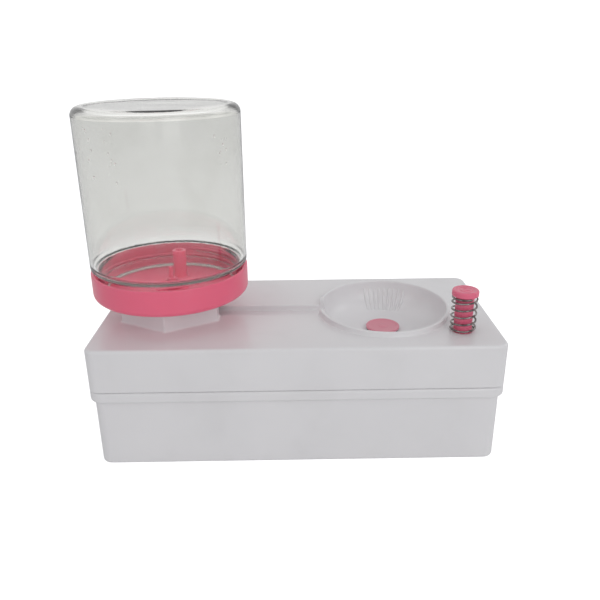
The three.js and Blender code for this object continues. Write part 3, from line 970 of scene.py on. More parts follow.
def make_finishes() -> Finishes:
    """Builds the shared effects and every material.

    Returns:
        The finishes.
    """
    effects = Effects(moulding_effect(), handling_effect())
    white = MouldedPlastic(
        "white moulded plastic", (0.85, 0.836, 0.846), (0.81, 0.798, 0.811), dust=(0.66, 0.64, 0.63)
    )
    pink = MouldedPlastic(
        "pink moulded plastic",
        (0.93, 0.16, 0.27),
        (0.87, 0.135, 0.235),
        dust=(0.8, 0.35, 0.42),
        bleed=0.3,
    )
    button = MouldedPlastic(
        "pink button plastic",
        (0.86, 0.16, 0.27),
        (0.8, 0.13, 0.23),
        dust=(0.85, 0.4, 0.46),
        rough=(0.22, 0.36),
        bleed=0.1,
    )
    # Painted light: a paler, greyer copy of the cap's pink, standing in for the bright light on the
    # plug down in the basin; its smudges are dust.
    painted_paler = MouldedPlastic(
        "pink drain plastic", (0.78, 0.27, 0.35), (0.72, 0.24, 0.31), dust=(0.85, 0.5, 0.55), dusty=0.3
    )
    return Finishes(
        white=white.build(effects),
        plug_pink_painted_pale=painted_paler.build(effects),
        pink=pink.build(effects),
        button_pink=button.build(effects),
        clear=ClearPlastic(
            "clear moulded plastic", (0.865, 0.866, 0.845), (0.832, 0.832, 0.806), painted_clear_below=0.118
        ).build(effects),
        droplet=ClearPlastic(
            "water droplet",
            (0.98, 0.98, 0.98),
            (0.96, 0.96, 0.96),
            bump=0.0,
            rough=(0.0, 0.02),
            edge_depth=0.0,
        ).build(effects),
        steel=SpringSteel("spring steel wire").build(effects),
        white_rubber=MouldedPlastic(
            "white rubber", (0.72, 0.7, 0.68), (0.66, 0.64, 0.62), rough=(0.5, 0.65), coat=0.0
        ).build(effects),
        grey_rubber=MouldedPlastic(
            "grey rubber", (0.16, 0.16, 0.17), (0.12, 0.12, 0.13), rough=(0.5, 0.65), coat=0.0
        ).build(effects),
        nylon=MouldedPlastic(
            "natural nylon", (0.72, 0.69, 0.61), (0.66, 0.63, 0.55), rough=(0.32, 0.45), bleed=0.2
        ).build(effects),
    )


# ---- Casing ----


@dataclass
class Casing:
    """The waste tub and the cover that holds seat, channel and basin.

    Heights are from the tub's underside; all sizes in millimetres.
    """

    finishes: Finishes
    half_length: float = 130.0
    half_width: float = 62.0
    corner: float = 7.0
    wall: float = 2.0
    seam: float = 53.0
    deck: float = 82.0
    edge: float = 2.0
    tub_inset: float = 2.0
    bead_height: float = 7.0
    bead_proud: float = 0.6
    bead_round: float = 1.6
    lip_inset: float = 0.5
    lip_height: float = 5.0
    tub_floor: float = 2.2
    jar_x: float = -84.0
    seat_radius: float = 36.6
    seat_top: float = 98.0
    seat_wall: float = 2.4
    well_floor: float = 76.0
    pin_radius: float = 1.8
    pin_top: float = 80.0
    channel_half: float = 8.0
    channel_floor: float = 78.0
    channel_corner: float = 1.2
    channel_edge: float = 0.7
    gate_flare: float = 6.5
    window_top: float = 88.0
    basin_x: float = 60.0
    basin_y: float = -3.0
    rim_radius: float = 45.2
    rim_crest: float = 88.3
    rim_round: float = 1.2
    rim_front_share: float = 0.5
    bowl_radius: float = 42.2
    bowl_floor: float = 68.0
    drain_radius: float = 8.5
    collar_radius: float = 10.5
    guide_bottom: float = 65.0
    button_x: float = 106.0
    button_y: float = -37.5
    button_bore: float = 6.1
    boss_radius: float = 3.6
    boss_bottom: float = 60.9
    pilot_radius: float = 1.7
    rib_count: int = 9
    rib_step: float = 5.0
    rib_middle: float = 82.0
    rib_half: float = 0.75
    screw_spots: tuple[tuple[float, float], ...] = ((70.0, -28.0), (86.8, -5.6))

    def build(self, row: Pattern, round_: Pattern) -> None:
        """Builds the tub and the cover.

        Args:
            row: Repeats a shape in a row.
            round_: Repeats a shape about an axis.
        """
        finish_piece(self._tub(), "tub_shell", self.finishes.white, Body.TUB, Slot.WHITE, "waste_tub")
        steps = [*self._additions(row, round_), *self._cuts(), self._seat_pin()]
        cover = shaped(self._cover_shell(), *steps)
        finish_piece(cover, "cover_shell", self.finishes.white, Body.COVER, Slot.WHITE, "top_cover")

    def _ring(self, inset: float, z: float, base_inset: float = 0.0) -> Ring:
        """A ring of the casing's plan.

        Args:
            inset: How far inside the base outline it lies.
            z: Its height.
            base_inset: How far the base outline lies inside the cover's outside.

        Returns:
            The ring's points.
        """
        total = inset + base_inset
        return rounded_rectangle(
            self.half_length - total, self.half_width - total, self.corner - inset, z
        )

    def _tub(self) -> bpy.types.Object:
        """The tub: rounded foot, straight wall, rounded bead and a thin lip inside the cover.

        Returns:
            The tub as a shape.
        """
        top = self.seam
        round_ = self.bead_round
        bead = self.tub_inset + self.bead_proud - round_
        bead_low = top - self.bead_height
        path: Outline = [
            (3.0, 0.0),
            *arc(2.0, 2.0, 2.0, 270, 180),
            (0.0, 4.0),
            (0.0, bead_low - 0.5),
            (0.0, bead_low),
            *[(-r, z) for r, z in arc(bead, bead_low + round_, round_, -90, 0)],
            *[(-r, z) for r, z in arc(bead, top - round_, round_, 0, 90)],
            (self.lip_inset, top),
            (self.lip_inset, top + self.lip_height - 0.5),
            (self.lip_inset + 0.4, top + self.lip_height),
            (self.wall - 0.4, top + self.lip_height),
            (self.wall, top + self.lip_height - 0.5),
            (self.wall, self.tub_floor + 2.5),
            *arc(self.wall + 2.0, self.tub_floor + 2.0, 2.0, 180, 270),
            (self.wall + 3.0, self.tub_floor),
        ]
        rings = [self._ring(inset, z, self.tub_inset) for inset, z in path]
        return Skin().loft(rings).shape("tub")

    def _cover_shell(self) -> bpy.types.Object:
        """The cover's plain shell, before its seat, channel and basin.

        Returns:
            The shell as a shape.
        """
        bottom = self.seam + FIT_GAP
        ceiling = self.deck - self.wall
        path: Outline = [
            (self.wall + 2.0, ceiling),
            *arc(self.wall + 1.0, ceiling - 1.0, 1.0, 90, 180, 4),
            (self.wall, bottom + 0.3),
            (self.wall - 0.3, bottom),
            (0.3, bottom),
            (0.0, bottom + 0.3),
            (0.0, self.deck - self.edge - 0.6),
            *arc(self.edge, self.deck - self.edge, self.edge, 180, 90, 8),
            (self.edge + 0.6, self.deck),
        ]
        return Skin().loft([self._ring(inset, z) for inset, z in path]).shape("cover")

    def _additions(self, row: Pattern, round_: Pattern) -> list[tuple[Join, bpy.types.Object]]:
        """Everything that is added to the cover's shell.

        Args:
            row: Repeats a shape in a row.
            round_: Repeats a shape about an axis.

        Returns:
            The steps, in order.
        """
        hole = Skin().turned(
            [(0.0, 60.0), (43.4, 60.0), (43.4, 90.0), (0.0, 90.0)], self.basin_x, self.basin_y
        )
        seat_face = self.jar_x + self.seat_radius * math.cos(math.pi / 6)
        trough_half = self.channel_half + self.wall
        trough = [
            (-trough_half, 81.0),
            *arc(-trough_half + 1.0, self.channel_floor - 1.0, 1.0, 180, 270, 4),
            *arc(trough_half - 1.0, self.channel_floor - 1.0, 1.0, 270, 360, 4),
            (trough_half, 81.0),
        ]
        sleeve = [(0.0, 66.0), (7.9, 66.0), (8.2, 66.3), (8.2, 81.0), (0.0, 81.0)]
        steps = [
            (Join.CUT, hole.shape("basin hole")),
            (Join.ADD, self._bowl()),
            (Join.ADD, self._seat()),
            (Join.ADD, Skin().prism(trough, seat_face - 4.0, self.basin_x - 43.0).shape("trough")),
            (Join.ADD, self._scrubbing_ribs(round_)),
            (Join.ADD, self._stem_guide(round_)),
            (Join.ADD, Skin().turned(sleeve, self.button_x, self.button_y, 72).shape("sleeve")),
            (Join.ADD, self._deck_stiffeners(row)),
        ]
        for x, y in self.screw_spots:
            radius, low, high = self.boss_radius, self.boss_bottom, 67.4
            edge = [(radius - 0.3, low), (radius, low + 0.3), (radius, high)]
            boss = [(0.0, low), *edge, (0.0, high)]
            steps.append((Join.ADD, Skin().turned(boss, x, y, 36).shape("boss")))
        return steps

    def _cuts(self) -> list[tuple[Join, bpy.types.Object]]:
        """Everything that is cut out of the cover.

        Returns:
            The steps, in order.
        """
        seat_face = self.jar_x + self.seat_radius * math.cos(math.pi / 6)
        basin_edge = self.basin_x - self.rim_radius
        half, floor = self.channel_half, self.channel_floor
        corner, edge, over = self.channel_corner, self.channel_edge, self.deck + 2.0
        base = [
            *arc(-half + corner, floor + corner, corner, 180, 270, 5),
            *arc(half - corner, floor + corner, corner, 270, 360, 5),
        ]
        flare = arc(half + edge, self.deck - edge, edge, 180, 90, 5)
        channel = [*base, *flare, (half + edge, over), (-half - edge, over)]
        channel += [(-y, z) for y, z in reversed(flare)]
        top = self.window_top
        window = [*base, *arc(half - 2.0, top - 2.0, 2.0, 0, 90, 5)]
        window += arc(-half + 2.0, top - 2.0, 2.0, 90, 180, 5)
        wide = half + self.gate_flare
        sweep = bezier([(half, self.deck), (half, 86.0), (half + 1.5, 88.6), (wide, 88.7)], 10)
        gate = [*base, *sweep, (wide, 92.0), (-wide, 92.0)]
        gate += [(-y, z) for y, z in reversed(sweep)]
        bore_radius = self.button_bore
        bore = [
            (0.0, 60.0),
            (bore_radius, 60.0),
            *arc(bore_radius + 0.6, self.deck - 0.6, 0.6, 180, 90, 4),
            (bore_radius + 0.6, over),
            (0.0, over),
        ]
        cuts = [
            (Join.CUT, self._well()),
            (Join.CUT, Skin().prism(channel, seat_face - 1.0, basin_edge + 2.0).shape("channel")),
            (Join.CUT, Skin().prism(window, seat_face - 5.0, seat_face + 3.0).shape("window")),
            (Join.CUT, Skin().prism(gate, basin_edge - 1.5, basin_edge + 8.0).shape("gate")),
            (Join.CUT, Skin().turned(bore, self.button_x, self.button_y, 72).shape("bore")),
        ]
        for x, y in self.screw_spots:
            radius, low, high = self.pilot_radius, 60.0, 66.8
            pilot = [(0.0, low), (radius, low), (radius, high), (0.0, high)]
            cuts.append((Join.CUT, Skin().turned(pilot, x, y, 24).shape("pilot")))
        return cuts

    def _bowl(self) -> bpy.types.Object:
        """The basin with its raised rim, a soft foot on the deck and the drain's collar.

        Returns:
            The basin as a shape.
        """
        crest = self.rim_crest - self.rim_round
        face = self.bowl_radius
        inner = bezier([(20.0, self.bowl_floor), (34.0, 68.0), (face, 74.0), (face, crest)], 26)
        under = bezier([(45.0, 80.0), (45.0, 72.5), (35.2, 66.0), (20.0, 66.0)], 16)
        foot = bezier([(44.55, 86.6), (44.7, 84.2), (44.9, 82.2), (46.0, self.deck)], 10)
        outline: Outline = [
            *arc(self.drain_radius + 0.6, self.bowl_floor - 0.6, 0.6, 180, 90, 4),
            (12.0, self.bowl_floor),
            (16.0, self.bowl_floor),
            *inner,
            *arc(face + self.rim_round, crest, self.rim_round, 150, 20, 10),
            *foot,
            (46.0, self.deck - 0.8),
            *under,
            (self.collar_radius, 66.0),
            (self.collar_radius, self.guide_bottom),
            (self.drain_radius, self.guide_bottom),
        ]
        skin = Skin().turned(outline, self.basin_x, self.basin_y, displace=self._tilted)
        return skin.shape("bowl")

    def _tilted(self, angle: float, r: float, z: float) -> tuple[float, float]:
        """Lowers the rim evenly from its full height at the back to its share at the front.

        Args:
            angle: Angle round the axis, in radians.
            r: Distance from the axis.
            z: Height.

        Returns:
            The change of radius and height.
        """
        above = max(z - self.deck, 0.0)
        front = self.rim_front_share
        share = (1 + front + (1 - front) * r * math.sin(angle) / self.rim_radius) / 2
        return 0.0, above * (min(share, 1.0) - 1.0)

    def _seat(self) -> bpy.types.Object:
        """The hexagonal seat under the jar's cap, with a soft foot on the deck.

        Returns:
            The seat as a solid shape.
        """
        path: Outline = [
            (-0.6, 74.0),
            (0.0, 74.6),
            (0.0, 78.0),
            (1.6, 80.0),
            (1.6, 81.0),
            *arc(1.6, self.deck + 1.6, 1.6, 270, 180, 6),
            (0.0, self.seat_top - 1.2),
            *arc(-0.6, self.seat_top - 0.6, 0.6, 0, 90, 4),
            (-0.9, self.seat_top),
        ]
        slant = math.cos(math.pi / 6)
        rings = [hexagon(self.seat_radius + out / slant, 2.2 + out, z, self.jar_x) for out, z in path]
        return Skin().loft(rings).shape("seat")

    def _well(self) -> bpy.types.Object:
        """The hollow of the hexagonal seat.

        Returns:
            The hollow as a tool shape.
        """
        slant = math.cos(math.pi / 6)
        radius = self.seat_radius - self.seat_wall / slant
        path: Outline = [
            (-1.2, self.well_floor),
            *arc(-1.0, self.well_floor + 1.0, 1.0, 270, 360, 4),
            *arc(0.4, self.seat_top - 0.4, 0.4, 180, 90, 3),
            (0.4, self.seat_top + 2.0),
        ]
        rings = [hexagon(radius + out / slant, 1.4 + out, z, self.jar_x) for out, z in path]
        return Skin().loft(rings).shape("well")

    def _seat_pin(self) -> tuple[Join, bpy.types.Object]:
        """The pin on the well's floor that lifts the jar's valve.

        Returns:
            The step that adds the pin.
        """
        top = self.pin_top
        outline = [
            (0.0, self.well_floor - 1.0),
            (self.pin_radius + 0.6, self.well_floor - 1.0),
            (self.pin_radius + 0.6, self.well_floor),
            (self.pin_radius, self.well_floor + 0.6),
            *arc(self.pin_radius - 0.5, top - 0.5, 0.5, 0, 90, 4),
            (0.0, top),
        ]
        return Join.ADD, Skin().turned(outline, self.jar_x, 0.0, 36).shape("pin")

    def _scrubbing_ribs(self, round_: Pattern) -> bpy.types.Object:
        """Upright ribs on the bowl's back wall, for working a brush against.

        Args:
            round_: Repeats a shape about an axis.

        Returns:
            The ribs as one shape.
        """
        radius, crest = self.bowl_radius, self.rim_crest - self.rim_round
        face = bezier([(20.0, 68.0), (34.0, 68.0), (radius, 74.0), (radius, crest)], 24)[7:22]
        last, half, root = len(face) - 1, self.rib_half, 0.6
        rings: list[Ring] = []
        for i, (r, z) in enumerate(face):
            ends = math.sin(math.pi * i / last) ** 0.35 if 0 < i < last else 0.0
            ahead, behind = face[min(i + 1, last)], face[max(i - 1, 0)]
            along = Vector((ahead[0] - behind[0], ahead[1] - behind[1])).normalized()
            proud = 0.15 + 0.95 * ends
            ring: Ring = []
            for step in range(9):
                angle = math.pi * step / 8
                rise = proud * math.sin(angle)
                ring.append((r - along.y * rise, half * math.cos(angle), z + along.x * rise))
            ring += [(r + along.y * root, y, z - along.x * root) for y in (-half, half)]
            rings.append(ring)
        rib = Skin().loft(rings).shape("ribs")
        step = math.radians(self.rib_step)
        values = {
            "Count": self.rib_count,
            "Step": step,
            "First": math.radians(self.rib_middle) - step * (self.rib_count - 1) / 2,
            "Centre": (self.basin_x, self.basin_y, 0.0),
        }
        return round_.run(rib, values)

    def _stem_guide(self, round_: Pattern) -> bpy.types.Object:
        """Spokes and a ring across the drain, which guide the plug's stem.

        Args:
            round_: Repeats a shape about an axis.

        Returns:
            The guide as a shape.
        """
        z0, z1 = self.guide_bottom, 66.4
        ring = [(2.5, z0), (4.0, z0), (4.2, z0 + 0.2), (4.2, z1 - 0.2), (4.0, z1), (2.5, z1)]
        section = [(-0.9, z0), (0.9, z0), (0.9, z1 - 0.2), (0.6, z1), (-0.6, z1), (-0.9, z1 - 0.2)]
        spoke = Skin().prism(section, 3.2, self.drain_radius + 1.0).shape("spokes")
        values = {
            "Count": 3,
            "Step": math.radians(120.0),
            "First": math.radians(90.0),
            "Centre": (self.basin_x, self.basin_y, 0.0),
        }
        spokes = round_.run(spoke, values)
        hub = Skin().turned(ring, self.basin_x, self.basin_y, 48).shape("hub")
        return shaped(hub, (Join.ADD, spokes))

    def _deck_stiffeners(self, row: Pattern) -> bpy.types.Object:
        """Thin ribs under the deck between the seat and the basin.

        Args:
            row: Repeats a shape in a row.

        Returns:
            The ribs as one shape.
        """
        rings = [
            rounded_rectangle(0.6 + 0.2 * t, self.half_width - 3.0, 0.4, z, 2)
            for t, z in ((0.0, 77.0), (1.0, 80.6))
        ]
        rib = Skin().loft(rings).moved(Matrix.Translation((-44.0, 0.0, 0.0))).shape("stiffeners")
        return row.run(rib, {"Count": 4, "Offset": (14.0, 0.0, 0.0)})


# ---- Water bottle ----


@dataclass
class WaterBottle:
    """The inverted jar, its screw cap, gasket and air tube.

    Heights are from the cap's underside; all sizes in millimetres.
    """

    finishes: Finishes
    x: float = -84.0
    base_z: float = 98.3
    cap_radius: float = 51.5
    cap_wall: float = 2.0
    cap_height: float = 17.5
    cap_floor: float = 2.2
    cap_edge: float = 4.0
    thread_pitch: float = 4.5
    thread_turns: float = 1.25
    jar_thread_start: float = 7.0
    cap_thread_start: float = 8.9
    spout_radius: float = 8.2
    spout_bore: float = 6.3
    spout_bottom: float = -17.8
    jar_radius: float = 51.3
    neck: float = 47.2
    jar_wall: float = 1.6
    jar_base: float = 2.4
    base_recess: float = 0.8
    jar_ridge: float = 0.6
    cap_ridge: float = 0.8
    inner_heel: float = 3.9
    neck_wall: float = 2.8
    heel: float = 5.5
    mouth: float = 3.9
    neck_top: float = 18.6
    shoulder_top: float = 22.8
    jar_top: float = 121.7
    tube_x: float = 3.5
    tube_y: float = 17.0
    tube_radius: float = 4.5
    tube_bore: float = 2.6
    tube_top: float = 22.9
    droplet_gap: float = 0.36
    wet_patches: tuple[tuple[float, ...], ...] = (
        (-146.0, -108.0, 78.0, 112.0),
        (-42.0, -26.0, 88.0, 106.0),
    )

    def build(self, droplets: Pattern) -> None:
        """Builds the jar, cap, gasket, air tube and droplets.

        Args:
            droplets: Scatters droplets over a surface.
        """
        looks = self.finishes
        finish_piece(self._cap(), "jar_cap", looks.pink, Body.BOTTLE, Slot.PINK, "screw_cap")
        finish_piece(self._tube(), "air_pipe", looks.pink, Body.BOTTLE, Slot.PINK, "air_tube")
        ring, soft = self._gasket(), looks.white_rubber
        finish_piece(ring, "cap_seal_ring", soft, Body.GASKET, Slot.WHITE_RUBBER, "cap_gasket")
        finish_piece(self._jar(), "jar_glass", looks.clear, Body.JAR, Slot.CLEAR, "jar", crease=50.0)
        finish_piece(self._droplets(droplets), "jar_droplets", looks.droplet, Body.JAR, None)

    def _placed(self, skin: Skin) -> Skin:
        """Moves a shape from the cap's own frame to its place."""
        return skin.moved(Matrix.Translation((self.x, 0.0, self.base_z)))

    def _ridge(self, start: float, height: float) -> Displace:
        """A helical thread ridge on a turned wall.

        Args:
            start: Height of the ridge where it begins.
            height: How far it stands out; negative points at the axis.

        Returns:
            The change of radius and height at each point of the wall.
        """

        def displace(angle: float, r: float, z: float) -> tuple[float, float]:
            """The ridge's height at one point.

            Args:
                angle: Angle round the axis, in radians.
                r: Distance from the axis; not used.
                z: Height.

            Returns:
                The change of radius and height.
            """
            best = 0.0
            for turn in (angle / (2 * math.pi), angle / (2 * math.pi) + 1.0):
                if turn > self.thread_turns:
                    continue
                distance = abs(z - start - turn * self.thread_pitch)
                taper = min(1.0, turn / 0.05, (self.thread_turns - turn) / 0.05)
                best = max(best, taper * min(1.0, max(0.0, (0.95 - distance) / 0.55)))
            return height * best, 0.0

        return displace

    def _cap(self) -> bpy.types.Object:
        """The screw cap: rounded lower edge, inside thread and a spout below.

        Returns:
            The cap as a shape.
        """
        inner = self.cap_radius - self.cap_wall
        top, floor, edge = self.cap_height, self.cap_floor, self.cap_edge
        bottom, bore = self.spout_bottom, self.spout_bore
        ridge = self._ridge(self.cap_thread_start, -self.cap_ridge)

        def thread(angle: float, r: float, z: float) -> tuple[float, float]:
            """The inside thread, on the inner wall only."""
            return ridge(angle, r, z) if abs(r - inner) < 0.01 and z > floor + 3.0 else (0.0, 0.0)

        outline: Outline = [
            (3.5, bottom),
            (self.spout_radius - 0.6, bottom),
            (self.spout_radius, bottom + 0.6),
            (self.spout_radius, -1.2),
            *arc(self.spout_radius + 1.2, -1.2, 1.2, 180, 90, 4),
            (self.spout_radius + 2.0, 0.0),
            (self.cap_radius - edge - 1.0, 0.0),
            *arc(self.cap_radius - edge, edge, edge, -90, 0, 8),
            (self.cap_radius, top - 1.4),
            *arc(self.cap_radius - 0.7, top - 0.7, 0.7, 0, 90, 4),
            *arc(inner + 0.5, top - 0.5, 0.5, 90, 180, 4),
            *straight((inner, top - 0.9), (inner, floor + 3.2), 34),
            *self._inside_corner(inner, floor),
            (14.0, floor),
            *arc(11.4, floor + 0.0, 0.7, 0, 180, 6),
            (bore + 0.6, floor),
            (bore, floor - 0.6),
            (bore, bottom + 1.5),
            (3.5, bottom + 1.5),
        ]
        cap = self._placed(Skin().turned(outline, displace=thread)).shape("cap")
        hole = self.tube_radius + FIT_GAP
        cut = [(0.0, -2.0), (hole, -2.0), (hole, floor + 2.0), (0.0, floor + 2.0)]
        tool = self._placed(Skin().turned(cut, self.tube_x, self.tube_y, SMALL_ROUND))
        return shaped(cap, (Join.CUT, tool.shape("tube hole")))

    def _inside_corner(self, wall: float, floor: float) -> Outline:
        """The soft corner between the cap's wall and its floor."""
        upright, level = (wall, floor + 2.6), (wall - 2.6, floor)
        return bezier([upright, (wall, floor + 0.8), (wall - 0.8, floor), level], 6)

    def _gasket(self) -> bpy.types.Object:
        """The flat ring between cap and jar, with rounded edges.

        Returns:
            The gasket as a shape.
        """
        outline: Outline = [
            *arc(43.8, 2.8, 0.3, 180, 270, 3),
            *arc(46.7, 2.8, 0.3, 270, 360, 3),
            *arc(46.7, 3.3, 0.3, 0, 90, 3),
            *arc(43.8, 3.3, 0.3, 90, 180, 3),
        ]
        return self._placed(Skin().turned(outline)).shape("gasket")

    def _tube(self) -> bpy.types.Object:
        """The air tube that stands up in the jar, with an open rounded top.

        Returns:
            The tube as a shape.
        """
        outer, inner, top = self.tube_radius, self.tube_bore, self.tube_top
        floor = self.cap_floor + FIT_GAP
        outline: Outline = [
            (inner, self.spout_bottom),
            (outer - 0.4, self.spout_bottom),
            (outer, self.spout_bottom + 0.4),
            (outer, floor),
            (6.0, floor),
            (6.2, floor + 0.2),
            (6.2, floor + 0.9),
            (5.9, floor + 1.2),
            *arc(outer + 0.8, floor + 2.0, 0.8, 270, 180, 4),
            *arc(outer - 0.6, top - 0.6, 0.6, 0, 90, 4),
            *arc(inner + 0.5, top - 0.5, 0.5, 90, 180, 4),
        ]
        return self._placed(Skin().turned(outline, self.tube_x, self.tube_y, SMALL_ROUND)).shape("tube")

    def _jar(self) -> bpy.types.Object:
        """The clear jar: threaded neck, rounded shoulder, thick heel and a base pushed in.

        Returns:
            The jar as a shape.
        """
        neck, wall, radius, heel = self.neck, self.jar_wall, self.jar_radius, self.heel
        inner, top = radius - wall, self.jar_top
        neck_inner = neck - self.neck_wall
        ridge = self._ridge(self.jar_thread_start, self.jar_ridge)

        def thread(angle: float, r: float, z: float) -> tuple[float, float]:
            """The outside thread, on the neck's outer wall only."""
            return ridge(angle, r, z) if abs(r - neck) < 0.01 and z < top_of_neck else (0.0, 0.0)

        top_of_neck = self.neck_top
        edge, body_edge = neck + 0.8, radius - 1.2
        neck_to_body = [(neck + 0.1, 18.9), (edge, 19.5), (body_edge, 19.2), (radius - 0.4, 20.8)]
        into_body = [(radius - 0.2, 21.2), (radius, 21.8), (radius, 22.2), (radius, self.shoulder_top)]
        inside_neck = [(inner, 24.2), (inner - 0.3, 21.6), (neck_inner + 1.0, 20.6), (neck_inner, 17.0)]
        recess = top - self.base_recess
        stacking = [(44.6, top), (43.6, top), (43.2, recess), (42.0, recess)]
        outside: Outline = [
            *arc(neck_inner + 0.4, self.mouth + 0.4, 0.4, 180, 270, 3),
            *arc(neck - 0.4, self.mouth + 0.4, 0.4, 270, 360, 3),
            *straight((neck, self.mouth + 0.9), (neck, top_of_neck), 38),
            *bezier(neck_to_body, 8),
            *bezier(into_body, 4),
            (radius, 60.0),
            *arc(radius - heel, top - heel, heel, 0, 90, 14),
            *bezier(stacking, 6),
            (30.0, recess),
            (15.0, recess),
            (0.0, recess),
        ]
        lower, turn = top - self.jar_base, self.inner_heel
        inside: Outline = [
            (0.0, lower),
            (15.0, lower),
            (30.0, lower),
            (inner - turn - 1.0, lower),
            *arc(inner - turn, lower - turn, turn, 90, 0, 12),
            (inner, 60.0),
            (inner, 25.0),
            *bezier(inside_neck, 10),
        ]
        skin = Skin().turned([*inside, *outside], displace=thread, steps=160)
        return self._placed(skin).shape("jar")

    def _droplets(self, droplets: Pattern) -> bpy.types.Object:
        """Droplets left on the jar's inner wall.

        Args:
            droplets: Scatters droplets over a surface.

        Returns:
            The droplets as one shape.
        """
        radius = self.jar_radius - self.jar_wall - self.droplet_gap
        skin = Skin()
        for first, last, low, high in self.wet_patches:
            angles = [math.radians(first + (last - first) * i / 8) for i in range(9)]
            wall = [(radius * math.cos(a), radius * math.sin(a)) for a in angles]
            skin.sheet([[(x, y, z) for x, y in wall] for z in (low, high)])
        values = {
            "Density": 0.16,
            "Seed": 7,
            "Group size": 0.12,
            "Group edge": 0.5,
            "Smallest": 0.25,
            "Largest": 0.95,
            "Thickness": 0.28,
            "Material": self.finishes.droplet,
        }
        return droplets.run(self._placed(skin).shape("droplets"), values)


# ---- Springs ----


@dataclass(frozen=True)
class Spring:
    """A compression spring with a closed turn at each end; sizes in millimetres."""

    outer: float
    wire: float
    turns: float
    end_turns: float
    bottom: float
    top: float
    steps: int = 40

    def _height(self, turn: float) -> float:
        """Height of the wire's centre after that many turns.

        Args:
            turn: Number of turns from the bottom end.

        Returns:
            The height in millimetres.
        """
        end_pitch = 2.25 * self.wire
        start, finish = self.bottom + self.wire, self.top - self.wire
        rise = self.end_turns * end_pitch
        pitch = (finish - start - 2 * rise) / (self.turns - 2 * self.end_turns)
        if turn < self.end_turns:
            return start + turn * end_pitch
        if turn > self.turns - self.end_turns:
            return finish - (self.turns - turn) * end_pitch
        return start + rise + (turn - self.end_turns) * pitch

    def build(
        self, wire: Pattern, x: float, y: float, material: bpy.types.Material
    ) -> bpy.types.Object:
        """Sweeps the wire.

        Args:
            wire: Sweeps a wire along a path.
            x: Where the spring's axis stands along X.
            y: Where it stands along Y.
            material: Finish of the wire.

        Returns:
            The spring as a shape in millimetres.
        """
        radius = self.outer - self.wire
        count = round(self.turns * self.steps)
        points = []
        for i in range(count + 1):
            turn = self.turns * i / count
            angle = 2 * math.pi * turn
            across, along = radius * math.cos(angle), radius * math.sin(angle)
            points.append((x + across, y + along, self._height(turn)))
        mesh = bpy.data.meshes.new("path")
        mesh.from_pydata(points, [(i, i + 1) for i in range(count)], [])
        path = bpy.data.objects.new("path", mesh)
        bpy.context.scene.collection.objects.link(path)
        return wire.run(path, {"Radius": self.wire, "Sides": 14, "Material": material})


# ---- Outlet valve ----


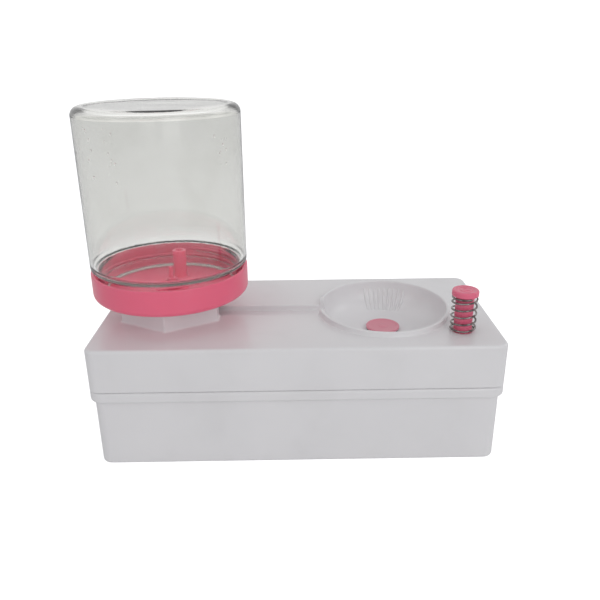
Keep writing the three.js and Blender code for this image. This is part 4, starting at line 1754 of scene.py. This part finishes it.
@dataclass
class OutletValve:
    """The sprung valve in the cap's spout, held open by the seat's pin.

    Heights are from the cap's underside; all sizes in millimetres.
    """

    finishes: Finishes
    x: float = -84.0
    base_z: float = 98.3
    floor: float = 2.5
    ring: float = 6.0
    ring_wall: float = 1.1
    flange: float = 7.8
    hub: float = 2.8
    guide_bottom: float = -1.0
    guide_top: float = 9.0
    bore: float = 1.8
    nose: float = 1.8
    rod: float = 1.5
    tip: float = -18.0
    seal_bottom: float = -13.0
    seal_top: float = -11.4
    seal_radius: float = 5.4
    stem_top: float = 16.7
    band_pitch: float = 1.6
    band_depth: float = 0.35
    spring: Spring = Spring(4.5, 0.4, 6.5, 0.75, bottom=88.55, top=97.0)

    def build(self, wire: Pattern, round_: Pattern) -> None:
        """Builds guide, stem, seal and spring.

        Args:
            wire: Sweeps a wire along a path.
            round_: Repeats a shape about an axis.
        """
        pink, rubber, steel = self.finishes.pink, self.finishes.grey_rubber, self.finishes.steel
        guide = self._guide(round_)
        finish_piece(guide, "stem_guide", pink, Body.BOTTLE, Slot.PINK, "valve_guide")
        finish_piece(self._stem(), "valve_rod", pink, Body.VALVE, Slot.PINK, "valve_stem")
        seal = self._seal()
        finish_piece(seal, "valve_seal_ring", rubber, Body.VALVE, Slot.GREY_RUBBER, "valve_seal")
        spring = self.spring.build(wire, self.x, 0.0, steel)
        finish_piece(spring, "valve_coil", steel, Body.BOTTLE, Slot.STEEL, "valve_spring", crease=60.0)

    def _placed(self, skin: Skin, name: str) -> bpy.types.Object:
        """Moves a shape from the cap's own frame to its place and makes it an object."""
        return skin.moved(Matrix.Translation((self.x, 0.0, self.base_z))).shape(name)

    def _guide(self, round_: Pattern) -> bpy.types.Object:
        """The flanged ring and hub that guide the stem.

        Args:
            round_: Repeats a shape about an axis.

        Returns:
            The guide as a shape.
        """
        low, floor = self.guide_bottom, self.floor
        ring: Outline = [
            (self.ring - self.ring_wall, low),
            (self.ring - 0.2, low),
            (self.ring, low + 0.2),
            (self.ring, floor),
            (self.flange - 0.2, floor),
            (self.flange, floor + 0.2),
            (self.flange, floor + 0.8),
            (self.flange - 0.2, floor + 1.0),
            (self.ring - self.ring_wall, floor + 1.0),
        ]
        hub: Outline = [
            (self.bore, low),
            (self.hub, low),
            (self.hub, self.guide_top - 0.4),
            (self.hub - 0.4, self.guide_top),
            (self.bore, self.guide_top),
        ]
        section = [(-0.7, low), (0.7, low), (0.7, low + 1.6), (-0.7, low + 1.6)]
        spoke = Skin().prism(section, 2.2, self.ring - self.ring_wall / 2).shape("spokes")
        values = {"Count": 3, "Step": math.radians(120.0), "First": math.radians(30.0)}
        spokes = round_.run(spoke, values)
        spokes.data.transform(Matrix.Translation((self.x, 0.0, self.base_z)))
        made = self._placed(Skin().turned(ring, steps=SMALL_ROUND), "guide")
        tool = self._placed(Skin().turned(hub, steps=SMALL_ROUND), "hub")
        return shaped(made, (Join.ADD, tool), (Join.ADD, spokes))

    def _stem(self) -> bpy.types.Object:
        """The valve's rod, with turned bands near its top.

        Returns:
            The rod as a shape.
        """
        low = self.seal_top + FIT_GAP
        bands: Outline = []
        for i in range(3):
            z = self.stem_top - 5.6 + i * self.band_pitch
            neck = self.rod - self.band_depth
            bands += [(self.rod, z), (neck, z + 0.25), (neck, z + 0.75), (self.rod, z + 1.0)]
        outline: Outline = [
            (0.0, self.tip),
            *arc(self.nose - 0.5, self.tip + 0.5, 0.5, 270, 360, 4),
            (self.nose, low),
            (4.4, low),
            (4.6, low + 0.2),
            (4.6, low + 1.0),
            (4.4, low + 1.2),
            (self.rod + 0.4, low + 1.3),
            (self.rod, low + 1.9),
            *bands,
            *arc(self.rod - 0.5, self.stem_top - 0.5, 0.5, 0, 90, 4),
            (0.0, self.stem_top),
        ]
        return self._placed(Skin().turned(outline, steps=32), "stem")

    def _seal(self) -> bpy.types.Object:
        """The valve's soft ring.

        Returns:
            The ring as a shape.
        """
        inner, outer = self.nose + FIT_GAP, self.seal_radius
        outline: Outline = [
            (inner, self.seal_bottom),
            *arc(outer - 0.5, self.seal_bottom + 0.5, 0.5, 270, 360, 4),
            *arc(outer - 0.3, self.seal_top - 0.3, 0.3, 0, 90, 3),
            (inner, self.seal_top),
        ]
        return self._placed(Skin().turned(outline, steps=SMALL_ROUND), "seal")


# ---- Drain plug, lever and button ----


@dataclass
class DrainLinkage:
    """The plug, the lever that lifts it and the bracket that carries the lever; millimetres."""

    finishes: Finishes
    basin_x: float = 60.0
    basin_y: float = -3.0
    plug_radius: float = 11.5
    plug_top: float = 71.0
    plug_under: float = 69.2
    plug_stem: float = 2.2
    plug_tip: float = 56.0
    plug_groove: float = 1.6
    plug_groove_bottom: float = 57.1
    plug_groove_top: float = 58.4
    seal_bore: float = 5.3
    seal_bottom: float = 68.3
    seal_top: float = 68.9
    lever_turn: float = math.atan2(-0.6, 0.8)
    plug_arm: float = 23.0
    button_arm: float = 34.5
    pivot_z: float = 52.7
    lever_half: float = 4.0
    lever_pad: float = 5.0
    lever_boss: float = 4.2
    ear_inner: float = 4.4
    ear_outer: float = 6.9
    ear_radius: float = 4.0
    screw_across: float = 14.0
    screw_hole: float = 1.7
    screw_groove: float = 1.1
    screw_thread: float = 1.4
    screw_head: float = 3.0
    plate_bottom: float = 58.6
    plate_top: float = 60.6
    pin_radius: float = 1.5

    def build(self) -> None:
        """Builds every piece of the linkage."""
        looks = self.finishes
        finish_piece(self._plug(), "plug_body", looks.plug_pink_painted_pale, Body.PLUG, Slot.PINK, "drain_plug")
        seal, soft = self._plug_seal(), looks.grey_rubber
        finish_piece(seal, "plug_seal_ring", soft, Body.PLUG, Slot.GREY_RUBBER, "plug_seal")
        at_plug = Matrix.Translation((self.basin_x, self.basin_y, 0.0))
        clip = self.snap_ring(1.9, 4.0, 57.4, 58.1, at_plug)
        finish_piece(clip, "plug_retainer", looks.steel, Body.PLUG, Slot.STEEL, "plug_clip")
        finish_piece(self._lever(), "lever_arm", looks.nylon, Body.LEVER, Slot.NYLON, "rocker_lever")
        bracket = self._bracket()
        finish_piece(bracket, "lever_hanger", looks.nylon, Body.COVER, Slot.NYLON, "lever_bracket")
        for side, node in ((-1, "bracket_screw_left"), (1, "bracket_screw_right")):
            screw = self._screw(side * self.screw_across)
            finish_piece(screw, node + "_detail", looks.steel, Body.COVER, Slot.STEEL, node)
        finish_piece(self._pin(), "pivot_pin", looks.steel, Body.COVER, Slot.STEEL, "lever_pin")
        turn = Matrix.Rotation(math.radians(-90.0), 4, "X")
        clip = self.snap_ring(1.3, 3.2, 7.3, 7.9, self._at_pivot() @ turn)
        finish_piece(clip, "pin_retainer", looks.steel, Body.COVER, Slot.STEEL, "pin_clip")

    def _at_pivot(self) -> Matrix:
        """From the lever's own frame, X towards the button, to its place.

        Returns:
            The move and turn.
        """
        x = self.basin_x + self.plug_arm * math.cos(self.lever_turn)
        y = self.basin_y + self.plug_arm * math.sin(self.lever_turn)
        return Matrix.Translation((x, y, self.pivot_z)) @ Matrix.Rotation(self.lever_turn, 4, "Z")

    def snap_ring(
        self, inner: float, outer: float, z0: float, z1: float, place: Matrix
    ) -> bpy.types.Object:
        """A snap ring with a slot in one side.

        Args:
            inner: Radius of its hole.
            outer: Radius outside.
            z0: Lower face.
            z1: Upper face.
            place: Where it goes.

        Returns:
            The ring as a shape.
        """
        slot = inner * 0.8
        edge = 0.15
        outline = [
            (inner, z0),
            (outer - edge, z0),
            (outer, z0 + edge),
            (outer, z1 - edge),
            (outer - edge, z1),
            (inner, z1),
        ]
        ring = Skin().turned(outline, steps=SMALL_ROUND).moved(place).shape("ring")
        section = [(-slot, z0 - 1), (slot, z0 - 1), (slot, z1 + 1), (-slot, z1 + 1)]
        tool = Skin().prism(section, 0.0, outer + 1.0).moved(place).shape("slot")
        return shaped(ring, (Join.CUT, tool))

    def _plug(self) -> bpy.types.Object:
        """The plug: shallow dished head with a raised edge, hub and stem.

        Returns:
            The plug as a shape.
        """
        radius, top, under = self.plug_radius, self.plug_top, self.plug_under
        stem, tip = self.plug_stem, self.plug_tip
        outline: Outline = [
            (0.0, tip),
            *bezier([(0.4, tip), (1.2, tip + 0.05), (1.7, tip + 0.3), (stem, tip + 0.9)], 4),
            (stem, self.plug_groove_bottom),
            (self.plug_groove, self.plug_groove_bottom),
            (self.plug_groove, self.plug_groove_top),
            (stem, self.plug_groove_top),
            (stem, under - 2.4),
            (4.6, under - 1.8),
            (5.0, under - 1.4),
            (5.0, under),
            (radius - 0.3, under),
            (radius, under + 0.3),
            *arc(radius - 0.7, top - 0.7, 0.7, 0, 90, 5),
            (radius - 1.6, top),
            (radius - 2.1, top - 0.35),
            (6.0, top - 0.45),
            (3.4, top - 0.45),
            (3.0, top - 0.2),
            (0.0, top - 0.15),
        ]
        return Skin().turned(outline, self.basin_x, self.basin_y, 72).shape("plug")

    def _plug_seal(self) -> bpy.types.Object:
        """The plug's soft ring.

        Returns:
            The ring as a shape.
        """
        inner, outer, edge = self.seal_bore, self.plug_radius - 0.5, 0.25
        outline = [
            (inner, self.seal_bottom),
            *arc(outer - edge, self.seal_bottom + edge, edge, 270, 360, 3),
            *arc(outer - edge, self.seal_top - edge, edge, 0, 90, 3),
            (inner, self.seal_top),
        ]
        return Skin().turned(outline, self.basin_x, self.basin_y, 72).shape("plug seal")

    def _cross(self, radius: float, y0: float, y1: float, name: str) -> bpy.types.Object:
        """A cylinder across the lever, through the pivot.

        Args:
            radius: Its radius.
            y0: One end.
            y1: The other end.
            name: Its name.

        Returns:
            The cylinder in the lever's own frame.
        """
        outline = [(0.0, y0), (radius, y0), (radius, y1), (0.0, y1)]
        turn = Matrix.Rotation(math.radians(-90.0), 4, "X")
        return Skin().turned(outline, steps=SMALL_ROUND).moved(turn).shape(name)

    def _lever(self) -> bpy.types.Object:
        """The rocker lever with a pad at each end and a boss at its pivot.

        Returns:
            The lever as a shape.
        """
        low, high, half, edge = -1.5, 3.0, self.lever_half, 0.4
        path = [(edge, low), (0.0, low + edge), (0.0, high - edge), (edge, high)]
        outer = self.lever_pad
        rim = [(outer - edge, low), (outer, low + edge), (outer, high - edge), (outer - edge, high)]
        pad = [(0.0, low), *rim, (0.0, high)]
        middle = (self.button_arm - self.plug_arm) / 2
        reach = (self.button_arm + self.plug_arm) / 2
        rings = [rounded_rectangle(reach - out, half - out, 0.8, z, 3) for out, z in path]
        bar = Skin().loft(rings).moved(Matrix.Translation((middle, 0.0, 0.0))).shape("lever")
        steps = []
        for x in (-self.plug_arm, self.button_arm):
            steps.append((Join.ADD, Skin().turned(pad, x, 0.0, SMALL_ROUND).shape("pad")))
        steps.append((Join.ADD, self._cross(self.lever_boss, -half, half, "boss")))
        web = [(-1.0, low - 2.0), (1.0, low - 2.0), (1.0, low + 1.0), (-1.0, low + 1.0)]
        web_skin = Skin().prism(web, 3.0 - self.plug_arm, self.button_arm - 3.0)
        steps.append((Join.ADD, web_skin.shape("web")))
        steps.append((Join.CUT, self._cross(self.pin_radius + FIT_GAP, -half - 1, half + 1, "bore")))
        lever = shaped(bar, *steps)
        lever.data.transform(self._at_pivot())
        return lever

    def _bracket(self) -> bpy.types.Object:
        """The bracket: a plate screwed under the basin, with two ears.

        Returns:
            The bracket as a shape.
        """
        low, high = self.plate_bottom - self.pivot_z, self.plate_top - self.pivot_z
        near, far = self.ear_inner, self.ear_outer
        path = [(0.3, low), (0.0, low + 0.3), (0.0, high - 0.3), (0.3, high)]
        plate = Skin().loft([rounded_rectangle(7.0 - o, 18.0 - o, 1.5, z, 4) for o, z in path])
        steps = []
        for y0, y1 in ((near, far), (-far, -near)):
            section = [(y0, 0.0), (y1, 0.0), (y1, low + 1.0), (y0, low + 1.0)]
            ear = Skin().prism(section, -self.ear_radius, self.ear_radius)
            steps.append((Join.ADD, ear.shape("ear")))
            steps.append((Join.ADD, self._cross(self.ear_radius, y0, y1, "ear end")))
        steps.append((Join.CUT, self._cross(self.pin_radius + FIT_GAP, -far - 1.1, far + 1.1, "bore")))
        radius = self.screw_hole
        hole = [(0.0, low - 1), (radius, low - 1), (radius, high + 1), (0.0, high + 1)]
        for y in (-self.screw_across, self.screw_across):
            steps.append((Join.CUT, Skin().turned(hole, 0.0, y, 24).shape("hole")))
        bracket = shaped(plate.shape("bracket"), *steps)
        bracket.data.transform(self._at_pivot())
        return bracket

    def _screw(self, across: float) -> bpy.types.Object:
        """A pan-head screw with a cross recess and a cut thread.

        Args:
            across: How far from the lever's line it stands.

        Returns:
            The screw as a shape.
        """
        top = self.plate_bottom - FIT_GAP
        head = top - 2.0
        groove, crest, edge = self.screw_groove, self.screw_thread, 0.8
        thread: Outline = []
        for i in range(6):
            z = top + 1.0 + i
            thread += [(groove, z), (crest, z + 0.3), (groove, z + 0.6)]
        outline: Outline = [
            (0.0, head),
            (1.6, head),
            *arc(self.screw_head - edge, head + edge, edge, 270, 360, 4),
            (self.screw_head, top),
            (crest, top),
            (crest, top + 0.6),
            *thread,
            (0.0, 66.1),
        ]
        spot = self._at_pivot() @ Vector((0.0, across, 0.0))
        screw = Skin().turned(outline, spot.x, spot.y, 32).shape("screw")
        steps = []
        for half_x, half_y in ((1.7, 0.4), (0.4, 1.7)):
            rings = [rounded_rectangle(half_x, half_y, 0.15, z, 2) for z in (head - 1.0, head + 0.9)]
            slot = Skin().loft(rings).moved(Matrix.Translation((spot.x, spot.y, 0.0)))
            steps.append((Join.CUT, slot.shape("slot")))
        return shaped(screw, *steps)

    def _pin(self) -> bpy.types.Object:
        """The pivot pin: a head at one end and a groove near the other.

        Returns:
            The pin as a shape.
        """
        radius = self.pin_radius
        outline: Outline = [
            (0.0, -8.4),
            (2.3, -8.4),
            (2.6, -8.1),
            (2.6, -7.2),
            (radius, -7.2),
            (radius, 7.0),
            (1.0, 7.0),
            (1.0, 8.2),
            (radius, 8.2),
            (radius, 8.8),
            (radius - 0.4, 9.2),
            (0.0, 9.2),
        ]
        turn = Matrix.Rotation(math.radians(-90.0), 4, "X")
        return Skin().turned(outline, steps=36).moved(self._at_pivot() @ turn).shape("pin")


@dataclass
class PushButton:
    """The sprung button over the lever's long arm; millimetres."""

    finishes: Finishes
    x: float = 106.0
    y: float = -37.5
    shaft: float = 5.8
    head: float = 8.35
    head_under: float = 106.0
    top: float = 109.7
    tip: float = 56.0
    tip_radius: float = 4.0
    travel: float = 9.0
    groove: float = 4.6
    groove_bottom: float = 64.3
    groove_top: float = 65.9
    swirl_radius: float = 6.6
    swirl_pitch: float = 2.3
    swirl_depth: float = 0.3
    swirl_width: float = 0.42
    spring: Spring = Spring(8.25, 0.6, 5.8, 0.75, bottom=82.3, top=105.7, steps=56)

    def build(self, wire: Pattern, linkage: DrainLinkage) -> None:
        """Builds button, spring and clip.

        Args:
            wire: Sweeps a wire along a path.
            linkage: Lends its snap ring and its direction.
        """
        looks = self.finishes
        button, pink, steel = self._button(), looks.button_pink, looks.steel
        finish_piece(button, "button_body", pink, Body.BUTTON, Slot.PINK, "push_button")
        spring = self.spring.build(wire, self.x, self.y, steel)
        finish_piece(spring, "button_coil", steel, Body.COVER, Slot.STEEL, "button_spring", crease=60.0)
        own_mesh(spring)
        place = Matrix.Translation((self.x, self.y, 0.0)) @ Matrix.Rotation(linkage.lever_turn, 4, "Z")
        clip = linkage.snap_ring(4.9, 8.0, 64.6, 65.6, place)
        finish_piece(clip, "shaft_retainer", steel, Body.BUTTON, Slot.STEEL, "shaft_clip")

    def _swirl(self, angle: float, r: float, z: float) -> tuple[float, float]:
        """A shallow spiral groove in the head's face.

        Args:
            angle: Angle round the axis, in radians.
            r: Distance from the axis.
            z: Height.

        Returns:
            The change of radius and height.
        """
        if z < self.top - 0.8 or r > self.swirl_radius:
            return 0.0, 0.0
        spiral = (r - 0.6) / self.swirl_pitch - angle / (2 * math.pi)
        off = abs(spiral - round(spiral)) * self.swirl_pitch
        fade = min(1.0, r, self.swirl_radius - r)
        return 0.0, -self.swirl_depth * fade * math.exp(-((off / self.swirl_width) ** 2))

    def _button(self) -> bpy.types.Object:
        """The button: rounded tip, shaft with a clip groove, and a dished head.

        Returns:
            The button as a shape.
        """
        shaft, head, top, under = self.shaft, self.head, self.top, self.head_under
        tip, nose = self.tip, self.tip_radius
        outline: Outline = [
            (0.0, tip),
            *arc(0.0, tip + nose, nose, -84, 0, 8),
            (nose, tip + nose + 0.6),
            (shaft, tip + nose + 1.6),
            (shaft, self.groove_bottom),
            (self.groove, self.groove_bottom),
            (self.groove, self.groove_top),
            (shaft, self.groove_top),
            (shaft, under - 0.5),
            (shaft + 0.5, under),
            (head - 0.5, under),
            *arc(head - 0.4, under + 0.4, 0.4, 270, 360, 4),
            *arc(head - 1.1, top - 1.1, 1.1, 0, 90, 6),
            *[(r, top) for r in (7.0, 6.8)],
            *[(self.swirl_radius - 0.3 * i, top) for i in range(22)],
            (0.0, top),
        ]
        return Skin().turned(outline, self.x, self.y, 96, displace=self._swirl).shape("button")


# ---- Studio ----


@dataclass
class Studio:
    """Floor, lights, surroundings and camera; metres."""

    camera_place: tuple[float, float, float] = (-0.00106, -0.41399, 0.25401)
    forward: tuple[float, float, float] = (0.00863, 0.92896, -0.37008)
    right: tuple[float, float, float] = (0.99987, -0.01306, -0.00945)
    lens: float = 38.87
    floor_half: float = 6.0

    def build(self) -> None:
        """Sets up the whole studio."""
        self._camera()
        self._floor()
        self._surroundings()
        self._light("front", (0.6, -1.0, 0.85), (0.03, 0.0, 0.08), 0.7, 2.7)
        self._light("low", (0.6, -1.3, 0.3), (0.0, 0.0, 0.08), 0.6, 0.9)
        self._light("left", (-0.9, -0.7, 0.9), (-0.1, 0.0, 0.1), 0.5, 0.8)
        self._light("window", (0.95, 0.35, 0.8), (0.05, 0.0, 0.08), 0.5, 0.8)
        self._light("top", (-0.1, 0.3, 1.2), (0.0, 0.0, 0.08), 1.0, 0.6)

    def _camera(self) -> None:
        """Places the camera."""
        data = bpy.data.cameras.new("camera")
        data.lens = self.lens
        data.sensor_width = 36.0
        data.clip_start = 0.01
        camera = bpy.data.objects.new("camera", data)
        bpy.context.scene.collection.objects.link(camera)
        forward = Vector(self.forward).normalized()
        right = (Vector(self.right) - forward * Vector(self.right).dot(forward)).normalized()
        up = right.cross(forward)
        turn = Matrix((right, up, -forward)).transposed().to_4x4()
        camera.matrix_world = Matrix.Translation(self.camera_place) @ turn
        bpy.context.scene.camera = camera

    def _floor(self) -> None:
        """A plain pale floor, a little self-lit so that it stays even."""
        mesh = bpy.data.meshes.new("floor")
        half = self.floor_half
        corners = [(-half, -half, 0.0), (half, -half, 0.0), (half, half, 0.0), (-half, half, 0.0)]
        mesh.from_pydata(corners, [], [(0, 1, 2, 3)])
        floor = bpy.data.objects.new("floor", mesh)
        bpy.context.scene.collection.objects.link(floor)
        material = bpy.data.materials.new("pale floor")
        material.use_nodes = True
        nodes = Nodes(material.node_tree)
        shader = material.node_tree.nodes["Principled BSDF"]
        place = nodes.add("ShaderNodeTexCoord").outputs["Object"]
        cloud = nodes.add("ShaderNodeTexNoise", {"Vector": place, "Scale": 3.0})
        tone = nodes.mixed(cloud.outputs[0], (0.93, 0.93, 0.93, 1.0), (0.95, 0.95, 0.95, 1.0))
        nodes.tree.links.new(tone, shader.inputs["Base Color"])
        shader.inputs["Roughness"].default_value = 0.8
        shader.inputs["Emission Color"].default_value = (1.0, 1.0, 1.0, 1.0)
        path = nodes.add("ShaderNodeLightPath")
        links = {0: path.outputs["Is Transmission Ray"], 1: 0.3}
        through = nodes.add("ShaderNodeMath", links, operation="MULTIPLY")
        links = {0: path.outputs["Is Camera Ray"], 1: 0.7, 2: through.outputs[0]}
        glow = nodes.add("ShaderNodeMath", links, operation="MULTIPLY_ADD")
        nodes.tree.links.new(glow.outputs[0], shader.inputs["Emission Strength"])
        mesh.materials.append(material)

    def _surroundings(self) -> None:
        """White surroundings: even soft light, and plain white where the camera looks past."""
        world = bpy.data.worlds.new("studio")
        world.use_nodes = True
        nodes = Nodes(world.node_tree)
        background = world.node_tree.nodes["Background"]
        background.inputs["Color"].default_value = (0.97, 0.98, 1.0, 1.0)
        background.inputs["Strength"].default_value = 0.5
        path = nodes.add("ShaderNodeLightPath")
        last = background.outputs[0]
        strengths = (("Is Glossy Ray", 0.8), ("Is Transmission Ray", 0.95), ("Is Camera Ray", 1.1))
        for ray, strength in strengths:
            plain = nodes.add("ShaderNodeBackground", {"Strength": strength})
            plain.inputs["Color"].default_value = (1.0, 1.0, 1.0, 1.0)
            links = {0: path.outputs[ray], 1: last, 2: plain.outputs[0]}
            last = nodes.add("ShaderNodeMixShader", links).outputs[0]
        nodes.tree.links.new(last, world.node_tree.nodes["World Output"].inputs["Surface"])
        bpy.context.scene.world = world
        bpy.context.scene.view_settings.view_transform = "Standard"

    def _light(
        self, name: str, place: tuple[float, ...], aim: tuple[float, ...], size: float, power: float
    ) -> None:
        """Adds a soft square lamp.

        Args:
            name: Name of the lamp.
            place: Where it hangs.
            aim: What it points at.
            size: Length of its side.
            power: Its power in watts.
        """
        data = bpy.data.lights.new(name, "AREA")
        data.size = size
        data.energy = power
        lamp = bpy.data.objects.new(name, data)
        bpy.context.scene.collection.objects.link(lamp)
        lamp.location = place
        lamp.rotation_euler = (Vector(aim) - Vector(place)).to_track_quat("-Z", "Y").to_euler()


def main() -> None:
    """Builds the studio and every sub-assembly."""
    logging.basicConfig(level=logging.INFO, format="%(message)s")
    finishes = make_finishes()
    round_, row, wire = round_pattern(), row_pattern(), wire_pattern()
    Studio().build()
    Casing(finishes).build(row, round_)
    WaterBottle(finishes).build(droplet_pattern())
    OutletValve(finishes).build(wire, round_)
    linkage = DrainLinkage(finishes)
    linkage.build()
    PushButton(finishes).build(wire, linkage)


if __name__ == "__main__":
    main()
